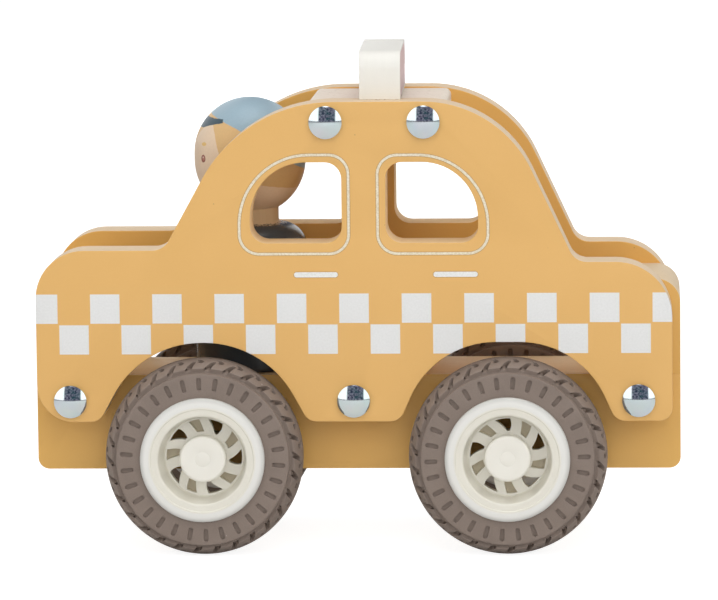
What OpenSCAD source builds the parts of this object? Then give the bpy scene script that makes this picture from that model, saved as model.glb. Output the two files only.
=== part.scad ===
// Wooden push-along taxi with bolted side panels, two rolling axle sets and a lift-out driver.
// The car faces -X, its left side is -Y, and it stands on the plane z = 0.

/* [Side panels] */
// Length of a side panel
panel_len = 170; // [150:1:190]
// Thickness of a side panel
panel_t = 12; // [8:0.5:16]
// Height of the hood line above the bottom edge of the panel
hood_h = 46.2; // [40:0.2:54]
// Height of the boot line above the bottom edge of the panel
boot_h = 42.7; // [38:0.1:52]
// Height of the roof line above the bottom edge of the panel
roof_h = 85.7; // [78:0.1:96]
// Distance from the front edge of the panel to the foot of the windscreen
windscreen_foot = 34.5; // [28:0.1:40]
// Slope of the windscreen from the horizontal
windscreen_slope = 61; // [55:0.5:70]
// Distance from the rear edge of the panel to the foot of the rear window
rear_foot = 25.7; // [20:0.1:32]
// Slope of the rear window from the horizontal
rear_slope = 65; // [58:0.5:74]
// Radius from the windscreen into the roof
roof_front_r = 40; // [20:0.5:44]
// Radius from the roof into the rear window
roof_rear_r = 32; // [16:0.5:36]
// Radius at the feet of the windscreen and the rear window
foot_r = 5; // [2:0.1:7]
// Radius of the upper front corner
nose_r = 13; // [5:0.1:15]
// Radius of the lower front corner
chin_r = 10; // [3:0.1:11]
// Radius of the upper rear corner
tail_r = 15; // [5:0.1:17]
// Radius of the lower rear corner
heel_r = 3.5; // [1:0.1:5]

/* [Windows] */
// Height of the window sill above the bottom edge of the panel
sill_h = 48; // [44:0.1:52]
// Height of a window opening
window_h = 21.6; // [17:0.1:24]
// Width of the front window opening
front_window_w = 24.5; // [18:0.1:26]
// Width of the rear window opening
rear_window_w = 24.6; // [18:0.1:27]
// Width of the pillar between the two windows
pillar_w = 11.7; // [9:0.1:15]
// Distance from the front axle to the middle of the pillar
pillar_from_front = 43.4; // [41.3:0.1:45.3]
// Large radius at the outer top corner of each window
window_arc_r = 15; // [6:0.1:17]
// Radius of the other window corners
window_corner_r = 4.5; // [1:0.1:5]

/* [Wheel arches] */
// Gap between the tyre and the crest of the arch
arch_gap = 4.1; // [2:0.1:7]
// Slope of the flanks of the front arch from the horizontal
front_arch_slope = 61.5; // [58:0.5:68]
// Slope of the flanks of the rear arch from the horizontal
rear_arch_slope = 66; // [60:0.5:72]
// Gap between the tyre radius and the foot of the front arch
front_arch_foot_gap = 1.4; // [1:0.1:3]
// Gap between the tyre radius and the foot of the rear arch
rear_arch_foot_gap = 2.2; // [1:0.1:3]
// Largest radius of the shoulders of the front arch
front_arch_r = 27; // [12:0.1:27]
// Largest radius of the shoulders of the rear arch
rear_arch_r = 25; // [12:0.1:28]
// Radius where an arch runs out into the bottom edge
arch_foot_r = 4; // [1:0.1:5]

/* [Core] */
// Distance between the two side panels
core_w = 36.5; // [33:0.1:44]
// How far the core stands out in front of the panels
front_lip = 1.4; // [0.4:0.1:4]
// How far the core stands out behind the panels
rear_lip = 2.2; // [0.4:0.1:4]
// Height of the chassis plank
chassis_h = 25.5; // [22:0.1:32]
// Depth of the chassis below the axles
axle_cover = 5.1; // [4.6:0.1:6.5]
// How far the panels reach down over the chassis
panel_lap = 11; // [9.5:0.1:14]
// Radius of the lower corners of the chassis
chassis_r = 3; // [0.5:0.1:4]
// Thickness of the front and rear blocks
block_t = 14.5; // [12:0.1:17]
// Height of the front and rear blocks above the chassis
block_h = 25.7; // [18:0.1:28]
// Radius of the upper outer corner of the front and rear blocks
block_r = 6.5; // [1:0.1:9]
// Length of the roof block
roof_block_len = 37.2; // [34:0.1:42]
// Thickness of the roof block
roof_block_h = 11; // [9.5:0.1:12]
// How far the roof block lies below the roof line
roof_block_drop = 0.4; // [0:0.1:1]
// Distance from the front axle to the front of the roof block
roof_block_from_front = 27.9; // [26.8:0.1:30.3]
// Radius of the upper edges of the roof block
roof_block_r = 1.8; // [0.5:0.1:3]

/* [Roof sign] */
// Thickness of the sign along the car
sign_t = 11; // [8:0.1:16]
// Width of the sign across the car
sign_w = 48; // [40:0.5:56]
// Height of the sign
sign_h = 13; // [10:0.1:20]
// Radius of the upper corners of the sign
sign_r = 5; // [1:0.1:7]
// Distance from the front of the roof block to the front of the sign
sign_setback = 14.3; // [12:0.1:20]
// Diameter of the glued wooden dowels
dowel_d = 5; // [4:0.5:6]
// Length of the glued wooden dowels
dowel_len = 14; // [10:0.5:16]
// Distance between the two dowels of a pair
dowel_pitch = 20; // [14:0.5:24]
// Wood left between an end dowel and the nearest tie rod
dowel_wall = 0.8; // [0.4:0.1:1.2]

/* [Fasteners] */
// Diameter of the steel tie rods
rod_d = 5; // [3:0.1:5.6]
// Diameter of the domed caps on the tie rods
cap_d = 8.8; // [7.5:0.1:10]
// Height of the domed caps
cap_h = 2.6; // [1.8:0.1:3.6]
// Thickness of the cylindrical edge of a cap
cap_edge = 0.5; // [0.3:0.1:1]
// Drop of the roof rods below the roof line
roof_rod_drop = 5.4; // [4.8:0.1:6]
// Distance from each end of the roof block to its rod
roof_rod_inset = 5.6; // [4.5:0.1:8]
// Drop of the base rods below the top of the chassis
base_rod_drop = 5.4; // [4:0.1:6]
// Distance from each end of the panel to its base rod
base_rod_inset = 9; // [8:0.1:11]

/* [Wheels] */
// Distance between the front and rear axles
wheelbase = 81.4; // [78:0.1:85]
// Radius of the tyre at the middle of the tread
tyre_r = 26.6; // [25:0.1:28]
// Radius of the tyre where the tread meets the sidewall
shoulder_r = 22.9; // [21.5:0.1:23.5]
// Width of the tyre across the sidewalls
tyre_w = 15.2; // [12:0.1:16.5]
// Outer radius of the rim flanges
rim_r = 16.6; // [15.5:0.1:18]
// Radius of the rim barrel that carries the tyre
barrel_r = 14.4; // [13.6:0.1:15]
// Width of the rim
rim_w = 18.7; // [17.5:0.1:22]
// Height of the sloped shoulder around a flange
flange_slope = 1.0; // [0.4:0.1:1.2]
// Radius of the mouth of the dish
dish_r = 11.7; // [11:0.1:12.5]
// Radius of the floor of the dish
floor_r = 10.5; // [9.5:0.1:10.8]
// Thickness of the spoked floor of the dish
floor_t = 3; // [2:0.1:5]
// Radius of the hub post
hub_r = 6; // [5:0.1:6.2]
// Depth of the face of the hub cap below the rim
hub_depth = 2.2; // [1:0.1:4]
// Number of holes between the spokes
spoke_holes = 5; // [3:1:7]
// Diameter of the holes between the spokes
spoke_hole_d = 3.2; // [2:0.1:3.4]

/* [Axles] */
// Diameter of the axles
axle_d = 4; // [3:0.1:4.4]
// Diameter of the bearing bushes
bush_d = 7; // [6.4:0.1:7.6]
// Length of a bearing bush
bush_len = 12; // [8:0.5:14]
// Outer diameter of the washers
washer_d = 10; // [8.5:0.5:12]
// Thickness of the washers
washer_t = 0.6; // [0.4:0.1:1]
// Thickness of the hub caps
hub_cap_t = 1.6; // [1.2:0.1:2]
// Diameter of the spigot under a hub cap
hub_spigot_d = 7; // [5.4:0.1:8]
// Length of the spigot under a hub cap
hub_spigot_len = 2; // [1:0.1:2.4]

/* [Driver] */
// Radius of the body of the driver
driver_r = 15.3; // [12:0.1:15.8]
// Height of the body of the driver up to the shoulders
driver_body_h = 39.4; // [34:0.1:44]
// Radius of the shoulders
shoulder_round = 8; // [3:0.1:8.4]
// Radius of the neck
neck_r = 7.6; // [6:0.1:8]
// Height of the neck
neck_h = 4.2; // [3:0.1:7]
// Radius of the head
head_r = 15.1; // [12.5:0.1:15.5]
// Height of the head above the neck
head_h = 30; // [28:0.1:33]
// Distance from the front axle to the axis of the driver
driver_from_front = 11; // [5.3:0.1:11.5]

/* [Clearances] */
// Gap between a washer and the chassis
washer_gap = 0.3; // [0.2:0.05:0.8]
// Radial running clearance of an axle in its bushes
axle_clearance = 0.05; // [0.02:0.01:0.09]
// Radial clearance of an axle in the middle of its bore
bore_clearance = 1; // [0.6:0.1:1.2]
// Gap under the driver standing on the chassis
driver_seat_gap = 0.1; // [0.05:0.05:0.3]

/* [Hidden] */
$fn = 96;

left = -1;
right = 1;
front = -1;
rear = 1;
over = 1;

paint = "#e5b876";
birch = "#dac3a2";
cream = "#ece5da";
rim_cream = "#e5e2d8";
rubber = "#86766c";
steel = "#c8cdd0";
nylon = "#d8d8d4";
cap_blue = "#8fa9b9";
slate = "#3d4750";

// Heights, from the ground up
axle_z = tyre_r;
chassis_z = axle_z - axle_cover;
chassis_top = chassis_z + chassis_h;
panel_z = chassis_top - panel_lap;
hood_z = panel_z + hood_h;
boot_z = panel_z + boot_h;
roof_z = panel_z + roof_h;
sill_z = panel_z + sill_h;
window_top = sill_z + window_h;
arch_top = axle_z + tyre_r + arch_gap;
block_top = chassis_top + block_h;
roof_block_top = roof_z - roof_block_drop;
roof_block_z = roof_block_top - roof_block_h;
roof_rod_z = roof_z - roof_rod_drop;
base_rod_z = chassis_top - base_rod_drop;

// Places along the car, with the core centred on x = 0
core_len = front_lip + panel_len + rear_lip;
core_front = -core_len / 2;
core_rear = core_len / 2;
panel_front = core_front + front_lip;
panel_rear = core_rear - rear_lip;
windscreen_x = panel_front + windscreen_foot;
rear_window_x = panel_rear - rear_foot;
front_axle_x = -wheelbase / 2;
pillar_x = front_axle_x + pillar_from_front;
roof_block_x = front_axle_x + roof_block_from_front;
roof_block_end = roof_block_x + roof_block_len;
sign_x = roof_block_x + sign_setback;
driver_x = front_axle_x + driver_from_front;
roof_rod_xs = [roof_block_x + roof_rod_inset, roof_block_end - roof_rod_inset];
base_rod_xs = [panel_front + base_rod_inset, (panel_front + panel_rear) / 2, panel_rear - base_rod_inset];
end_dowel_run = (rod_d + dowel_d) / 2 + dowel_wall;
front_dowel_x = base_rod_xs[0] - end_dowel_run;
rear_dowel_x = base_rod_xs[2] + end_dowel_run;

// Places across the car
body_w = core_w + 2 * panel_t;
hub_face_y = core_w / 2 + washer_gap + washer_t;
wheel_y = hub_face_y + rim_w / 2;
hub_cap_face = rim_w / 2 - hub_depth;
hub_post_end = hub_cap_face - hub_cap_t;
axle_end_y = wheel_y + hub_post_end - hub_spigot_len;

// Heights of the driver
driver_z = chassis_top + driver_seat_gap;
neck_z = driver_z + driver_body_h;
head_z = neck_z + neck_h;
head_top = head_z + head_h;
head_axis_drop = sqrt(head_r * head_r - neck_r * neck_r);

function unit(v) = v / norm(v);

// Largest corner radius that keeps its tangent length within the given room
function fitted(r, turn, room) = min(r, room / tan(turn / 2));

// Part of a disc between two of its radii
module sector(centre, r, a, b) {
    reach = 2;
    intersection() {
        translate(centre) circle(r);
        polygon([centre, centre + reach * (a - centre), centre + reach * (b - centre)]);
    }
}

// Closed outline with a true arc at each corner; corners are [x, y, radius], anticlockwise
module rounded_outline(corners) {
    n = len(corners);
    p = [for (c = corners) [c[0], c[1]]];
    back = [for (i = [0:n - 1]) unit(p[(i + n - 1) % n] - p[i])];
    ahead = [for (i = [0:n - 1]) unit(p[(i + 1) % n] - p[i])];
    half = [for (i = [0:n - 1]) acos(back[i] * ahead[i]) / 2];
    run = [for (i = [0:n - 1]) corners[i][2] / tan(half[i])];
    a = [for (i = [0:n - 1]) p[i] + run[i] * back[i]];
    b = [for (i = [0:n - 1]) p[i] + run[i] * ahead[i]];
    centre = [for (i = [0:n - 1]) p[i] + corners[i][2] / sin(half[i]) * unit(back[i] + ahead[i])];
    bends_in = [for (i = [0:n - 1]) cross(back[i], ahead[i]) > 0];
    difference() {
        union() {
            polygon([for (i = [0:n - 1]) for (q = corners[i][2] > 0 ? [a[i], b[i]] : [p[i]]) q]);
            for (i = [0:n - 1])
                if (corners[i][2] > 0 && !bends_in[i])
                    sector(centre[i], corners[i][2], a[i], b[i]);
        }
        for (i = [0:n - 1])
            if (corners[i][2] > 0 && bends_in[i])
                sector(centre[i], corners[i][2], a[i], b[i]);
    }
}

// Side-view outline given depth along y, centred on y
module across(y, depth) {
    translate([0, y + depth / 2, 0])
        rotate([90, 0, 0])
            linear_extrude(depth)
                children();
}

// Round bar or bore along y, centred on y
module bar(x, y, z, d, length) {
    translate([x, y, z])
        rotate([90, 0, 0])
            cylinder(d = d, h = length, center = true);
}

// Corners of one wheel arch, from its front foot to its rear foot
function arch_corners(x, foot, slope, r) =
    let (
        shoulder = foot - (arch_top - panel_z) / tan(slope),
        shoulder_fit = fitted(r, slope, shoulder * 0.99)
    )
    [[x - foot, panel_z, arch_foot_r], [x - shoulder, arch_top, shoulder_fit],
     [x + shoulder, arch_top, shoulder_fit], [x + foot, panel_z, arch_foot_r]];

module panel_outline() {
    roof_front_x = windscreen_x + (roof_z - hood_z) / tan(windscreen_slope);
    roof_rear_x = rear_window_x - (roof_z - boot_z) / tan(rear_slope);
    rounded_outline(concat(
        [[panel_front, panel_z, chin_r]],
        arch_corners(front_axle_x, tyre_r + front_arch_foot_gap, front_arch_slope, front_arch_r),
        arch_corners(wheelbase / 2, tyre_r + rear_arch_foot_gap, rear_arch_slope, rear_arch_r),
        [[panel_rear, panel_z, heel_r],
         [panel_rear, boot_z, tail_r],
         [rear_window_x, boot_z, foot_r],
         [roof_rear_x, roof_z, roof_rear_r],
         [roof_front_x, roof_z, roof_front_r],
         [windscreen_x, hood_z, foot_r],
         [panel_front, hood_z, nose_r]]
    ));
}

// Window opening beside the pillar; the large arc is on the side away from the pillar
module window_outline(side, w) {
    inner = pillar_x + side * pillar_w / 2;
    outer = inner + side * w;
    lo = min(inner, outer);
    hi = max(inner, outer);
    rounded_outline([
        [lo, sill_z, window_corner_r],
        [hi, sill_z, window_corner_r],
        [hi, window_top, side == rear ? window_arc_r : window_corner_r],
        [lo, window_top, side == front ? window_arc_r : window_corner_r]
    ]);
}

module side_panel(side) {
    y = side * (core_w + panel_t) / 2;
    color(paint)
        difference() {
            across(y, panel_t) panel_outline();
            across(y, panel_t + 2 * over) window_outline(front, front_window_w);
            across(y, panel_t + 2 * over) window_outline(rear, rear_window_w);
            for (x = roof_rod_xs)
                bar(x, y, roof_rod_z, rod_d, panel_t + 2 * over);
            for (x = base_rod_xs)
                bar(x, y, base_rod_z, rod_d, panel_t + 2 * over);
        }
}

module side_panel_left() {
    side_panel(left);
}

module side_panel_right() {
    side_panel(right);
}

// Middle of the front or rear block along the car
function block_x(end) = end * (core_len - block_t) / 2;

// Pair of upright dowels, half in each of the two pieces that meet at height z
module dowel_pair(x, z) {
    for (side = [left, right])
        translate([x, side * dowel_pitch / 2, z])
            cylinder(d = dowel_d, h = dowel_len, center = true);
}

// Bore for one axle: wider at both ends, where the bushes sit
module axle_bore(x) {
    bar(x, 0, axle_z, axle_d + 2 * bore_clearance, core_w + 2 * over);
    for (side = [left, right])
        bar(x, side * (core_w + over - bush_len) / 2, axle_z, bush_d, bush_len + over);
}

module chassis() {
    color(paint)
        difference() {
            across(0, core_w)
                rounded_outline([
                    [core_front, chassis_z, chassis_r],
                    [core_rear, chassis_z, chassis_r],
                    [core_rear, chassis_top, 0],
                    [core_front, chassis_top, 0]
                ]);
            for (end = [front, rear])
                axle_bore(end * wheelbase / 2);
            front_block_dowels();
            rear_block_dowels();
            for (x = base_rod_xs)
                bar(x, 0, base_rod_z, rod_d, core_w + 2 * over);
        }
}

// Upright block glued on one end of the chassis
module end_block(end) {
    half = block_t / 2;
    color(paint)
        difference() {
            translate([block_x(end), 0, 0])
                across(0, core_w)
                    rounded_outline([
                        [-half, chassis_top, 0],
                        [half, chassis_top, 0],
                        [half, block_top, end == rear ? block_r : 0],
                        [-half, block_top, end == front ? block_r : 0]
                    ]);
            front_block_dowels();
            rear_block_dowels();
        }
}

module front_block() {
    end_block(front);
}

module rear_block() {
    end_block(rear);
}

module front_block_dowels() {
    color(birch) dowel_pair(front_dowel_x, chassis_top);
}

module rear_block_dowels() {
    color(birch) dowel_pair(rear_dowel_x, chassis_top);
}

module roof_block() {
    color(birch)
        difference() {
            across(0, core_w)
                rounded_outline([
                    [roof_block_x, roof_block_z, 0],
                    [roof_block_end, roof_block_z, 0],
                    [roof_block_end, roof_block_top, roof_block_r],
                    [roof_block_x, roof_block_top, roof_block_r]
                ]);
            for (x = roof_rod_xs)
                bar(x, 0, roof_rod_z, rod_d, core_w + 2 * over);
            sign_dowels();
        }
}

// The sign stands on the top edges of both panels
module roof_sign() {
    color(cream)
        difference() {
            translate([sign_x, 0, roof_z])
                rotate([90, 0, 90])
                    linear_extrude(sign_t)
                        rounded_outline([
                            [-sign_w / 2, 0, 0],
                            [sign_w / 2, 0, 0],
                            [sign_w / 2, sign_h, sign_r],
                            [-sign_w / 2, sign_h, sign_r]
                        ]);
            sign_dowels();
        }
}

module sign_dowels() {
    color(birch) dowel_pair(sign_x + sign_t / 2, roof_z);
}

module roof_tie_rods() {
    color(steel)
        for (x = roof_rod_xs)
            bar(x, 0, roof_rod_z, rod_d, body_w);
}

module base_tie_rods() {
    color(steel)
        for (x = base_rod_xs)
            bar(x, 0, base_rod_z, rod_d, body_w);
}

// Domed push cap on the end of a tie rod: a short edge and a spherical crown
module dome_cap(x, z, side) {
    crown_h = cap_h - cap_edge;
    crown_r = (cap_d * cap_d / 4 + crown_h * crown_h) / (2 * crown_h);
    color(steel)
        translate([x, side * body_w / 2, z])
            rotate([-side * 90, 0, 0])
                intersection() {
                    cylinder(d = cap_d, h = cap_h);
                    translate([0, 0, cap_h - crown_r]) sphere(crown_r);
                }
}

module roof_caps(side) {
    for (x = roof_rod_xs)
        dome_cap(x, roof_rod_z, side);
}

module base_caps(side) {
    for (x = base_rod_xs)
        dome_cap(x, base_rod_z, side);
}

module roof_caps_left() {
    roof_caps(left);
}

module roof_caps_right() {
    roof_caps(right);
}

module base_caps_left() {
    base_caps(left);
}

module base_caps_right() {
    base_caps(right);
}

module axle_bushes(end) {
    x = end * wheelbase / 2;
    color(nylon)
        for (side = [left, right])
            difference() {
                bar(x, side * (core_w - bush_len) / 2, axle_z, bush_d, bush_len);
                bar(x, side * (core_w - bush_len) / 2, axle_z, axle_d + 2 * axle_clearance, bush_len + 2 * over);
            }
}

module front_axle_bushes() {
    axle_bushes(front);
}

module rear_axle_bushes() {
    axle_bushes(rear);
}

module axle(end) {
    color(steel) bar(end * wheelbase / 2, 0, axle_z, axle_d, 2 * axle_end_y);
}

module washers(end) {
    x = end * wheelbase / 2;
    y = hub_face_y - washer_t / 2;
    color(nylon)
        for (side = [left, right])
            difference() {
                bar(x, side * y, axle_z, washer_d, washer_t);
                bar(x, side * y, axle_z, axle_d, washer_t + 2 * over);
            }
}

// Places a piece turned about z so that it turns about an axle; +z then points outwards
module on_axle(end, side) {
    translate([end * wheelbase / 2, side * wheel_y, axle_z])
        rotate([-side * 90, 0, 0])
            children();
}

// Section of the rim: flanges, barrel, dish, spoked floor and hub post
module rim_section() {
    face = rim_w / 2;
    flange = face - tyre_w / 2;
    polygon([
        [axle_d / 2, -face],
        [hub_r, -face],
        [hub_r, -floor_t / 2],
        [floor_r, -floor_t / 2],
        [dish_r, -face],
        [rim_r - flange_slope, -face],
        [rim_r, -face + flange / 2],
        [rim_r, -tyre_w / 2],
        [barrel_r, -tyre_w / 2],
        [barrel_r, tyre_w / 2],
        [rim_r, tyre_w / 2],
        [rim_r, face - flange / 2],
        [rim_r - flange_slope, face],
        [dish_r, face],
        [floor_r, floor_t / 2],
        [hub_r, floor_t / 2],
        [hub_r, hub_post_end],
        [hub_spigot_d / 2, hub_post_end],
        [hub_spigot_d / 2, hub_post_end - hub_spigot_len],
        [axle_d / 2, hub_post_end - hub_spigot_len]
    ]);
}

module rim(end, side) {
    color(rim_cream)
        on_axle(end, side)
            difference() {
                rotate_extrude() rim_section();
                for (i = [0:spoke_holes - 1])
                    rotate([0, 0, i * 360 / spoke_holes])
                        translate([(floor_r + hub_r) / 2, 0, 0])
                            cylinder(d = spoke_hole_d, h = floor_t + 2 * over, center = true);
            }
}

// Section of the tyre: flat sidewalls and a crowned tread
module tyre_section() {
    half = tyre_w / 2;
    drop = tyre_r - shoulder_r;
    crown_r = (half * half + drop * drop) / (2 * drop);
    intersection() {
        translate([barrel_r, -half])
            square([tyre_r - barrel_r + over, tyre_w]);
        translate([tyre_r - crown_r, 0])
            circle(crown_r);
    }
}

module tyre(end, side) {
    color(rubber)
        on_axle(end, side)
            rotate_extrude()
                tyre_section();
}

// Round cap pressed into the hub post over the end of the axle
module hub_cap(end, side) {
    color(rim_cream)
        on_axle(end, side) {
            translate([0, 0, hub_post_end])
                cylinder(r = hub_r, h = hub_cap_t);
            translate([0, 0, hub_post_end - hub_spigot_len])
                cylinder(d = hub_spigot_d, h = hub_spigot_len);
        }
}

module front_axle() {
    axle(front);
}

module rear_axle() {
    axle(rear);
}

module front_washers() {
    washers(front);
}

module rear_washers() {
    washers(rear);
}

module front_left_rim() {
    rim(front, left);
}

module front_right_rim() {
    rim(front, right);
}

module rear_left_rim() {
    rim(rear, left);
}

module rear_right_rim() {
    rim(rear, right);
}

module front_left_tyre() {
    tyre(front, left);
}

module front_right_tyre() {
    tyre(front, right);
}

module rear_left_tyre() {
    tyre(rear, left);
}

module rear_right_tyre() {
    tyre(rear, right);
}

module front_left_hub_cap() {
    hub_cap(front, left);
}

module front_right_hub_cap() {
    hub_cap(front, right);
}

module rear_left_hub_cap() {
    hub_cap(rear, left);
}

module rear_right_hub_cap() {
    hub_cap(rear, right);
}

// Turned body and neck, standing on the chassis between the panels
module driver_body() {
    base_r = 1.2;
    collar_r = 0.8;
    color(slate)
        difference() {
            translate([driver_x, 0, driver_z])
                rotate_extrude()
                    rounded_outline([
                        [0, 0, 0],
                        [driver_r, 0, base_r],
                        [driver_r, driver_body_h, fitted(shoulder_round, 90, driver_r - neck_r - collar_r)],
                        [neck_r, driver_body_h, collar_r],
                        [neck_r, driver_body_h + neck_h, 0],
                        [0, driver_body_h + neck_h, 0]
                    ]);
            driver_neck_dowel();
        }
}

// Turned head: a ball drawn out a little in height and cut flat on the neck
module driver_head() {
    low = head_z + head_axis_drop;
    high = head_top - head_r;
    color(cap_blue)
        difference() {
            translate([driver_x, 0, 0]) {
                translate([0, 0, high]) sphere(head_r);
                translate([0, 0, low]) cylinder(r = head_r, h = high - low);
                intersection() {
                    translate([0, 0, low]) sphere(head_r);
                    translate([0, 0, head_z]) cylinder(r = head_r + over, h = head_h);
                }
            }
            driver_neck_dowel();
        }
}

module driver_neck_dowel() {
    color(birch)
        translate([driver_x, 0, head_z])
            cylinder(d = dowel_d, h = dowel_len, center = true);
}

side_panel_left();
side_panel_right();
chassis();
front_block();
rear_block();
front_block_dowels();
rear_block_dowels();
roof_block();
roof_sign();
sign_dowels();
roof_tie_rods();
base_tie_rods();
roof_caps_left();
roof_caps_right();
base_caps_left();
base_caps_right();
front_axle_bushes();
rear_axle_bushes();
front_axle();
front_washers();
front_left_rim();
front_right_rim();
front_left_tyre();
front_right_tyre();
front_left_hub_cap();
front_right_hub_cap();
rear_axle();
rear_washers();
rear_left_rim();
rear_right_rim();
rear_left_tyre();
rear_right_tyre();
rear_left_hub_cap();
rear_right_hub_cap();
driver_body();
driver_head();
driver_neck_dowel();
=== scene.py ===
import math
import bpy
from mathutils import Matrix, Vector


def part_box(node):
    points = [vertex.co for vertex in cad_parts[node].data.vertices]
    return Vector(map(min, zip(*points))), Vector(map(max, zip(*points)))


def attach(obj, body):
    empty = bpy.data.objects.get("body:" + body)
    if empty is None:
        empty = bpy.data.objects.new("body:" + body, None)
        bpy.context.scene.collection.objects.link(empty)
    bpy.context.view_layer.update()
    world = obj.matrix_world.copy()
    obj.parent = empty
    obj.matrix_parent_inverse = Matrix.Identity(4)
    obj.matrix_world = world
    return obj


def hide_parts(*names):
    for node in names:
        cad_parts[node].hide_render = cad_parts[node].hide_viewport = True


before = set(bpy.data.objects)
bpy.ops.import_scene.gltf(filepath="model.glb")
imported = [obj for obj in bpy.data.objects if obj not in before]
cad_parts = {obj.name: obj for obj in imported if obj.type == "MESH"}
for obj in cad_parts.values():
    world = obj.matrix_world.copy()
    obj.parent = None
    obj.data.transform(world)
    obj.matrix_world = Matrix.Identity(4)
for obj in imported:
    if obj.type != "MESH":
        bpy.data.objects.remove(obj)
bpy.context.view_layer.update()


# Chassis: one timber plank between the panels, bored for the axles and the tie rods.
# Its two sides were painted before it was sawn to length, so the top, underside and ends are bare.
mm = 0.001


def linear(code):
    """The linear colour that a shader takes, from an sRGB hex value."""
    parts = [int(code[i:i + 2], 16) / 255 for i in (1, 3, 5)]
    return [p / 12.92 if p <= 0.04045 else ((p + 0.055) / 1.055) ** 2.4 for p in parts] + [1]


def add(tree, kind, inputs, **settings):
    """Adds a node with its settings, sets or links its inputs and returns its outputs."""
    made = tree.nodes.new(kind)
    for name, value in settings.items():
        setattr(made, name, value)
    for name, value in inputs.items():
        if isinstance(value, bpy.types.NodeSocket):
            tree.links.new(value, made.inputs[name])
        else:
            made.inputs[name].default_value = value
    return made.outputs


def blank(name):
    """A new material with an empty node tree."""
    made = bpy.data.materials.new(name)
    made.use_nodes = True
    made.node_tree.nodes.clear()
    return made, made.node_tree


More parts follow.
